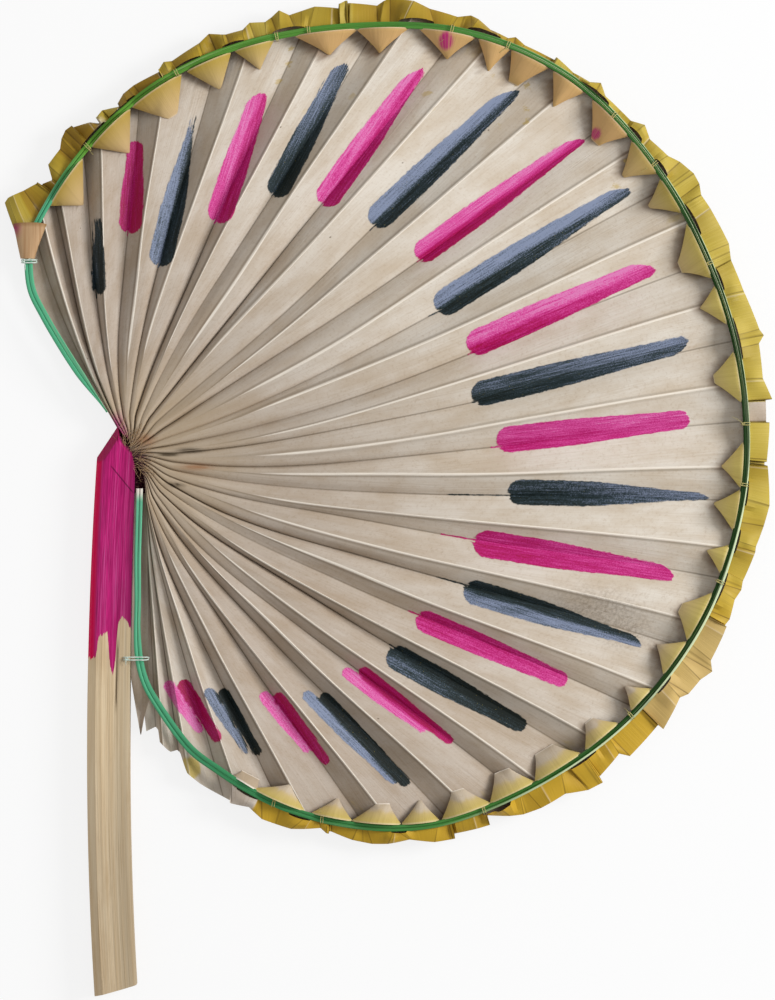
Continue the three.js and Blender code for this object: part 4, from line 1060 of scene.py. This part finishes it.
route = smoothRun(frontRoute(), 12)
routeAlong = np.concatenate([[0], np.cumsum(np.linalg.norm(np.diff(route, axis=0), axis=1))])
routeLength = routeAlong[-1]
hoopFinish = hoopMaterial(routeLength)
first, last = hoopForm["thirdRun"]
third = splitShell(route[first:last], 0.0, hoopForm["thirdLift"], *hoopForm["thirdStrip"], 4.4, routeAlong[first])
outerShells = [splitShell(route, hoopForm["apart"], 0.0, *hoopForm["strip"], 0.7)]
innerShells = [splitShell(route, -hoopForm["apart"], 0.05, *hoopForm["strip"], 2.1), third]
degrees = np.arange(hoopForm["rimStart"] - 4, hoopForm["rimEnd"] - 0.01, -hoopForm["rimStep"])
backRoute = smoothRun(np.column_stack([hoopPoint(degrees), np.full(len(degrees), hoopForm["backLevel"])]), 10)
backShells = [splitShell(backRoute, side * hoopForm["backApart"], 0, *hoopForm["backStrip"], phase)
              for side, phase in ((1, 1.3), (-1, 3.3))]
for name, shells in (("outer", outerShells), ("inner", innerShells), ("back", backShells)):
    putPiece("hoop_" + name, shells, hoopFinish, ["hoop_split_" + name])
print("hoop made")

# thread ties with knots and cut tails
tieLook = {"straw": "#a89c4c", "pale": "#cfc691", "clear": "#a9c9b8", "glint": "#f2f5ee"}
tieForm = {"ties": 16, "thick": 0.15, "reach": 1.75, "cornerThick": 0.3, "stalkThick": 0.26, "stalkShort": 1.8,
           "cornerTails": [(3.6, 6.0, 1.2, 0.9), (2.6, 4.5, 1.0, -0.7)], "stalkTails": [(0.4, 3.0, 0.5, 0.4)]}


def threadMaterial(name, first, second):      # two tones blended by noise that is drawn out round the thread
    material, tree, shader = newMaterial(name, 0.5)
    twist = noise(tree, vectorOf(tree, field(tree, "across"), times(tree, field(tree, "along"), 40.0)), 1.5, 2.0)
    plug(tree, tint(tree, spread(tree, twist, 0.35, 0.65), linear(first), linear(second)), shader.inputs["Base Color"])
    bumped(tree, shader, twist, 0.0002, 0.6)
    return material


threadFinish = threadMaterial("thread", tieLook["straw"], tieLook["pale"])
clearFinish = threadMaterial("clearThread", tieLook["clear"], tieLook["glint"])


def loopPath(low, high, middle, direction, reach, lean, count=40):
    # rounded box loop in an upright plane: cosine and sine raised to a small power
    a = np.linspace(0, 2 * np.pi, count, endpoint=False)
    c, s = np.cos(a), np.sin(a)
    out = reach * np.sign(c) * np.abs(c) ** 0.35
    up = np.sign(s) * np.abs(s) ** 0.35
    flat = np.array([-direction[1], direction[0]])
    plane = middle + out[:, None] * direction + (lean * up)[:, None] * flat
    return np.column_stack([plane, (low + high) / 2 + up * (high - low) / 2])


def tailPath(start, heading, length, drop, curl, count=9):      # short arc that droops by the square of its length
    f = np.linspace(0, 1, count)
    turn = heading + curl * f
    step = np.column_stack([np.cos(turn), np.sin(turn)]) * length / count
    plane = start[:2] + np.cumsum(step, 0) - step[0]
    return np.column_stack([plane, start[2] + 0.5 * np.sin(np.pi * f) - drop * f ** 2])


def tieShells(node, thick, tails, turns=2, short=0.0):
    # turns of the loop set side by side, a small knot over the crossing and loose tails
    low, high = (np.array(v) * 1000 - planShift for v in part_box(node))
    middle = (low + high)[:2] / 2
    angle = np.arctan2(middle[1], middle[0])
    if node in ("corner_tie", "stalk_tie"):
        direction = np.array([1.0, 0.0])
        reach = (high - low)[0] / 2 - 0.35
    else:
        direction = np.array([np.cos(angle), np.sin(angle)])
        reach = tieForm["reach"]
        middle = hoopPoint(np.degrees(angle))
    middle, reach = middle - direction * short / 2, reach - short / 2
    flat = np.array([-direction[1], direction[0]])
    shells = []
    for turn in range(turns):
        offset = (turn - (turns - 1) / 2) * thick * 1.7
        lean = 0.35 * (1 if turn % 2 else -1)
        path = loopPath(low[2] + thick, high[2] - thick * 0.6, middle + flat * offset, direction, reach, lean)
        shells.append(tubeAlong(path, thick, np.append(flat, 0.0), 6, True))
    top = np.append(middle - direction * reach * 0.7, high[2] - 0.2)
    a = np.linspace(0, 2 * np.pi, 14, endpoint=False)
    knot = top + np.column_stack([0.45 * np.cos(a), 0.45 * np.sin(a), 0.25 * np.sin(2 * a)])
    shells.append(tubeAlong(knot, thick * 1.1, [0, 0, 1.0], 6, True))
    for heading, length, drop, curl in tails:
        path = tailPath(top, angle + heading, length, drop, curl)
        shells.append(tubeAlong(path, np.linspace(thick * 0.8, thick * 0.45, len(path)), [0, 0, 1.0], 6))
    return shells


for number in range(1, tieForm["ties"] + 1):
    tails = [(np.pi + draw.uniform(-1.0, 1.0), draw.uniform(3, 7.5), draw.uniform(0.4, 1.6), draw.uniform(-0.9, 0.9))
             for _ in range(draw.integers(0, 2))]
    name = f"rim_tie_{number:02d}"
    putPiece(f"tie_{number:02d}", tieShells(name, tieForm["thick"], tails), threadFinish, [name])
cornerShells = tieShells("corner_tie", tieForm["cornerThick"], tieForm["cornerTails"], 3)
putPiece("tie_corner", cornerShells, clearFinish, ["corner_tie"])
stalkShells = tieShells("stalk_tie", tieForm["stalkThick"], tieForm["stalkTails"], 2, tieForm["stalkShort"])
putPiece("tie_stalk", stalkShells, clearFinish, ["stalk_tie"])
print("ties made")

# leaf end wrapped over the hoop at the upper corner
cuffForm = {"stations": [[-3.6, -2.0, 13.6, 3.5], [-3.9, -6.5, 10.8, 3.4], [-4.3, -11.0, 8.2, 3.3],
                         [-4.5, -15.9, 5.6, 3.2]], "sheet": 0.3, "length": 18}
cuffLook = {"light": "#c9a780", "dark": "#a98058", "stain": "#a02a62", "rim": "#8f6b3c"}


def cuffShell():      # arched sections laid from the wide mouth to the narrow end
    stations = np.array(cuffForm["stations"])
    f = np.linspace(0, 1, 16)[:, None]
    steps = np.arange(len(stations))
    offX, offY, wide, rise = (np.interp(f * steps[-1], steps, stations[:, n]) for n in range(4))
    corner = hoopPoint(hoopForm["rimStart"])
    a = np.pi * (1 - np.linspace(0, 1, 21))[None, :]
    x = corner[0] + offX + wide / 2 * np.cos(a)
    y = corner[1] + offY + 0.7 * np.sin(a) * (1 - f)
    z = hemTop + 0.15 + rise * np.sin(a) ** 0.6
    middle = np.stack([x, y, z], -1)
    fields = {"along": f * cuffForm["length"], "across": x - x.mean(), "rim": ease(0.14, 0.02, f),
              "stain": ease(-0.3, -0.9, np.cos(a)) * ease(0.5, 0.05, f)}
    return shellBetween(middle, middle - np.array([0, 0, cuffForm["sheet"]]), fields)


def cuffMaterial():      # streaked brown, with paint on its left and a dark mouth, each blended by its own mask
    material, tree, shader = newMaterial("cuff", 0.6)
    c = {k: linear(v) for k, v in cuffLook.items()}
    grain = useGroup(tree, fibreGrain, Along=field(tree, "along"), Across=field(tree, "across"), Seed=3.0)
    base = tint(tree, spread(tree, grain["Streak"], 0.3, 0.7), c["light"], c["dark"])
    base = layer(tree, base, field(tree, "stain"), spread(tree, grain["Blotch"], 0.3, 0.5), c["stain"])
    # painted shade: darker at the mouth
    base = layer(tree, base, field(tree, "rim"), 0.7, c["rim"])
    plug(tree, base, shader.inputs["Base Color"])
    bumped(tree, shader, grain["Line"], 0.0003, 0.5)
    return material


putPiece("cuff", [cuffShell()], cuffMaterial(), ["corner_cuff"])
print("cuff made")

# stalk
stalkForm = {
    "top": 12.0, "rows": 190, "columns": 44, "footRise": 4.9, "shoulder": [-104.4, -13.2], "apex": [-96.2, 0.2],
    "bevelDrop": 6.2, "bevelWide": 3.4,
    "headLine": [[-96.2, 0.2], [-95.4, -4.4], [-92.6, -7.9], [-90.2, -10.1], [-88.66, -15.5]],
    "crown": [[0, 6.5], [0.06, 8.6], [0.2, 11.4], [0.36, 11.85], [0.56, 12.0], [0.76, 11.75], [0.93, 11.0], [1.0, 9.5]],
    "sole": [[0, 1.6], [0.09, 0.02], [0.92, 0.02], [1.0, 1.4]],
    "paintEnd": [[0, -95.0], [0.2, -94.0], [0.25, -86.0], [0.46, -84.0], [0.53, -97.0], [0.6, -101.5], [0.66, -95.0],
                 [0.7, -80.5], [0.8, -77.5], [0.93, -80.0], [1.0, -83.0]],
}


# crown and sole lines across, carried from the foot to the cut head and limited by the head's bevel
def stalkShell():
    form = stalkForm
    share = np.linspace(0, 1, form["columns"])
    share = mixed(share, ease(0, 1, share), 0.5)
    crown, sole = np.array(form["crown"]), np.array(form["sole"])
    apex, shoulder = np.array(form["apex"]), np.array(form["shoulder"])
    headX = mixed(stalkLeft(-9.0), stalkRight(-9.0), share)
    slope = (apex - shoulder)[1] / (apex - shoulder)[0]
    headLine = np.interp(headX, *np.array(form["headLine"]).T)
    head = np.where(headX < apex[0], shoulder[1] + slope * (headX - shoulder[0]), headLine)
    foot = plan["stalkFoot"] + form["footRise"] * share
    v = 1 - (1 - np.linspace(0, 1, form["rows"])[:, None]) ** 1.8
    y = mixed(foot, head, v)
    x = mixed(stalkLeft(y), stalkRight(y), share)
    top = np.interp(share, crown[:, 0], crown[:, 1]) + 0 * y
    groove = 0.06 * np.sin(share * 47 + 0.02 * y) * np.sin(share * 19 + 1.3) + 0.03 * np.sin(share * 91 - 0.015 * y)
    top = top + groove * between(0.02, 0.12, 0.93, 1.0, share)
    slit = np.exp(-(((x + 96.2 - (y + 95) * 0.03) / 0.35) ** 2)) * between(-118, -110, -92, -84, y)
    top = top - 0.55 * slit
    way = (apex - shoulder) / np.linalg.norm(apex - shoulder)
    inFrom = (x - shoulder[0]) * way[1] - (y - shoulder[1]) * way[0]
    bevel = form["top"] - form["bevelDrop"] + form["bevelDrop"] * inFrom / form["bevelWide"]
    bevelled = ease(-0.1, 0.5, top - bevel)
    top = np.minimum(top, bevel)
    # rounded end: lowered, and given the dark root colours, partly as painted shade where the head meets the roots
    rounded = ease(2.6, 0, head - y) * (headX > apex[0])
    top = top - 3.2 * rounded
    under = np.interp(share, sole[:, 0], sole[:, 1]) + 0 * y
    top = np.maximum(top, under + 0.4)
    end = np.interp(share, *np.array(form["paintEnd"]).T)
    fields = {"along": -y, "across": x - stalkLeft(y), "paintGap": end - y, "leftFace": ease(0.2, 0.1, share),
              "rightFace": ease(0.86, 0.97, share), "bevelled": bevelled, "slit": slit, "root": 0.9 * rounded}
    onSole = {"across": fields["across"] - 6}
    return shellBetween(np.stack([x, y, top], -1), np.stack([x, y, under], -1), fields, onSole)


stalkLook = {
    "raw": "#d6bd98", "fibre": "#b4956c", "light": "#e3cfae", "speck": "#6a5138", "slit": "#4b3a2a",
    "paint": "#cb2a7c", "deep": "#a31c60", "streak": "#d768a8", "side": "#cf024a", "rightSide": "#7f1450",
    "bevel": "#9c1148", "score": "#3c0a24", "rootDark": "#1f0c12", "root": "#43142b", "rootLight": "#8c6a55",
}
stalkShade = (0.86, 0.86, 0.87, 1)      # what the lower half keeps of the light
rootStops = [(0.36, "rootDark"), (0.5, "root"), (0.68, "rootLight")]


# streaked raw stalk under a brushed coat, with slit, score and tangled root, each blended by its own mask; the root's
# near-black is painted shade
def stalkMaterial():
    material, tree, shader = newMaterial("stalk", 0.58, 0.05)
    along, across = field(tree, "along"), field(tree, "across")
    grain = useGroup(tree, fibreGrain, Along=times(tree, along, 0.7), Across=across, Seed=7.0)
    c = {k: linear(v) for k, v in stalkLook.items()}
    raw = tint(tree, spread(tree, grain["Streak"], 0.3, 0.7), c["light"], c["raw"])
    raw = layer(tree, raw, spread(tree, grain["Line"], 0.48, 0.72), 0.4, c["fibre"])
    raw = layer(tree, raw, spread(tree, grain["Blotch"], 0.5, 0.75), 0.35, c["fibre"])
    raw = layer(tree, raw, grain["Speck"], 0.6, c["speck"])
    raw = tint(tree, spread(tree, along, 110.0, 190.0), raw, stalkShade, "MULTIPLY")
    paint = useGroup(tree, brushWork, Gap=field(tree, "paintGap"), Side=across, Run=along, Dry=0.5, Seed=5.0)
    coat = tint(tree, spread(tree, paint["Bristle"], 0.35, 0.7), c["deep"], c["paint"])
    coat = layer(tree, coat, spread(tree, grain["Line"], 0.5, 0.72), 0.6, c["streak"])
    coat = layer(tree, coat, field(tree, "rightFace"), 0.6, c["rightSide"])
    coat = tint(tree, field(tree, "leftFace"), coat, c["side"])
    coat = layer(tree, coat, field(tree, "bevelled"), 0.85, c["bevel"])
    base = tint(tree, paint["Cover"], raw, coat)
    base = layer(tree, base, field(tree, "slit"), 0.8, c["slit"])
    # score across the head: a slanted line, kept between two heights
    score = less(tree, less(tree, along, 9.5), times(tree, across, 1.135))
    score = spread(tree, calc(tree, "ABSOLUTE", score), 0.5, 0.15)
    score = times(tree, score, times(tree, spread(tree, along, 16.0, 17.5), spread(tree, along, 28.0, 26.5)))
    base = layer(tree, base, score, 0.75, c["score"])
    # tangled root colours, near black at the dark end as painted shade
    tangle = noise(tree, vectorOf(tree, across, along), 1.1, 3.0, 0.7)
    base = tint(tree, field(tree, "root"), base, ramp(tree, tangle, stalkLook, rootStops))
    # painted shade: lighter at the left and darker towards the leaf's side
    base = tint(tree, 1.0, base, spread(tree, across, 6.0, 16.0, 1.16, 0.68), "MULTIPLY")
    plug(tree, base, shader.inputs["Base Color"])
    plug(tree, spread(tree, paint["Cover"], 0.0, 1.0, 0.6, 0.5), shader.inputs["Roughness"])
    height = plus(tree, grain["Line"], times(tree, grain["Streak"], 1.2))
    bumped(tree, shader, height, 0.0004, 0.5)
    return material


bedForm = {"inner": -93.5, "reach": [-28, -12.5], "level": 6.2, "rise": 1.2, "ripple": 0.7, "sole": 0.6}


def headShell():      # bed under the roots, straight from the root line in towards the stalk, rippled by sines
    q = np.linspace(-1, 25, 90)[None, :]
    w = np.linspace(0, 1, 12)[:, None]
    x0, y0 = rootPoint(q)
    x = mixed(x0 + 0.2, bedForm["inner"], w)
    y = mixed(y0, np.clip(y0, *bedForm["reach"]), w)
    ripple = bedForm["ripple"] * np.sin(q * 7.1 + 4 * w) * np.sin(w * 9 + q)
    z = bedForm["level"] + bedForm["rise"] * w ** 0.7 + ripple
    # the bed takes the root colours in full, partly painted shade of the gap under the roots
    fields = {"along": -y, "across": x + 104, "paintGap": -40.0, "root": 1.0}
    return shellBetween(np.stack([x, y, z], -1), np.stack([x, y, 0 * z + bedForm["sole"]], -1), fields)


putPiece("stalk_body", [stalkShell(), headShell()], stalkMaterial(), ["stalk"], sharp=30)
print("stalk made")

# frayed fibres where the leaflets leave the stalk
fibreForm = {"count": 96, "radius": 0.09, "level": 9.2, "drop": 1.4}
fibreLook = {"dark": "#7d5a3c", "light": "#cdb086"}


def fibreShells():      # short curled hairs set between the root line and the stalk, each an arc that droops
    shells = []
    count = fibreForm["count"]
    q = draw.uniform(-0.5, 19, count)
    x, y = rootPoint(q)
    back = draw.uniform(-1.5, 6.0, count)
    outward = np.arctan2(y + 14, x + 96)
    x, y = x - back * np.cos(outward), y - back * np.sin(outward)
    for n in range(count):
        start = np.array([x[n], y[n], fibreForm["level"] + draw.uniform(0, 1.2)])
        heading = outward[n] + draw.uniform(-1.0, 1.0)
        path = tailPath(start, heading, draw.uniform(2.5, 8.5), fibreForm["drop"], draw.uniform(-1.4, 1.4))
        thin = fibreForm["radius"] * np.linspace(1, 0.4, len(path))
        shells.append(tubeAlong(path, thin, [0, 0, 1.0], 6))
    return shells


putPiece("root_fibres", fibreShells(), threadMaterial("fibre", fibreLook["dark"], fibreLook["light"]))
print("fibres made")

# studio: white floor, large soft lamp from the upper right, plain sky, camera straight above
studio = {"floorSize": 4.0, "floorDrop": 0.0006, "floorTone": (0.9, 0.9, 0.9, 1), "floorGlow": 0.82,
          "azimuth": 14, "elevation": 33, "distance": 1.6, "lampSize": 0.6, "power": 21.0, "sky": 0.5,
          "cameraHeight": 2.0, "faceHeight": 0.01, "sensor": 36, "pixel": 0.40445, "pictureMiddle": [32.5, -75]}


def makeFloor():      # flat sheet, matte to the light, mostly glowing white to the camera, and clear from below
    size = studio["floorSize"] / 2
    mesh = bpy.data.meshes.new("floor")
    z = -studio["floorDrop"]
    mesh.from_pydata([(-size, -size, z), (size, -size, z), (size, size, z), (-size, size, z)], [], [(0, 1, 2, 3)])
    floor = bpy.data.objects.new("floor", mesh)
    bpy.context.collection.objects.link(floor)
    material = bpy.data.materials.new("floor")
    material.use_nodes = True
    tree = material.node_tree
    tree.nodes.clear()
    out = tree.nodes.new("ShaderNodeOutputMaterial")
    matte = tree.nodes.new("ShaderNodeBsdfDiffuse")
    matte.inputs["Color"].default_value = studio["floorTone"]
    glow = tree.nodes.new("ShaderNodeEmission")
    clear = tree.nodes.new("ShaderNodeBsdfTransparent")
    path = tree.nodes.new("ShaderNodeLightPath")
    behind = tree.nodes.new("ShaderNodeNewGeometry")
    seen = calc(tree, "MAXIMUM", path.outputs["Is Camera Ray"], path.outputs["Is Glossy Ray"])
    seen = calc(tree, "MAXIMUM", seen, path.outputs["Is Transmission Ray"])
    first = tree.nodes.new("ShaderNodeMixShader")
    second = tree.nodes.new("ShaderNodeMixShader")
    for socket, value in zip(first.inputs, (times(tree, seen, studio["floorGlow"]), matte.outputs[0], glow.outputs[0])):
        plug(tree, value, socket)
    for socket, value in zip(second.inputs, (behind.outputs["Backfacing"], first.outputs[0], clear.outputs[0])):
        plug(tree, value, socket)
    plug(tree, second.outputs[0], out.inputs[0])
    mesh.materials.append(material)


def makeSky():      # even white sky, at full strength only to the camera
    world = bpy.data.worlds.new("sky")
    bpy.context.scene.world = world
    world.use_nodes = True
    tree = world.node_tree
    back = tree.nodes["Background"]
    back.inputs["Color"].default_value = (1, 1, 1, 1)
    path = tree.nodes.new("ShaderNodeLightPath")
    plug(tree, calc(tree, "MAXIMUM", path.outputs["Is Camera Ray"], studio["sky"]), back.inputs["Strength"])


def makeLamp():      # square lamp set out by two angles and a distance, its back along that line
    lamp = bpy.data.lights.new("key", "AREA")
    lamp.energy, lamp.size = studio["power"], studio["lampSize"]
    key = bpy.data.objects.new("key", lamp)
    a, e = np.radians(studio["azimuth"]), np.radians(studio["elevation"])
    way = Vector((np.cos(a) * np.cos(e), np.sin(a) * np.cos(e), np.sin(e)))
    key.location = way * studio["distance"]
    key.rotation_euler = way.to_track_quat("Z", "Y").to_euler()
    bpy.context.collection.objects.link(key)


# straight above the picture's middle; the lens is the sensor times the height over the width seen
def makeCamera():
    camera = bpy.data.cameras.new("camera")
    height = studio["cameraHeight"]
    camera.sensor_width = studio["sensor"]
    camera.lens = studio["sensor"] * (height - studio["faceHeight"]) / studio["pixel"]
    camera.clip_end = 50
    eye = bpy.data.objects.new("camera", camera)
    middle = (np.array(studio["pictureMiddle"]) * studio["pixel"] + planShift[:2]) / 1000
    eye.location = (middle[0], middle[1], height)
    bpy.context.collection.objects.link(eye)
    bpy.context.scene.camera = eye


makeFloor()
makeSky()
makeLamp()
makeCamera()
bpy.context.scene.view_settings.view_transform = "Standard"
print("studio made")
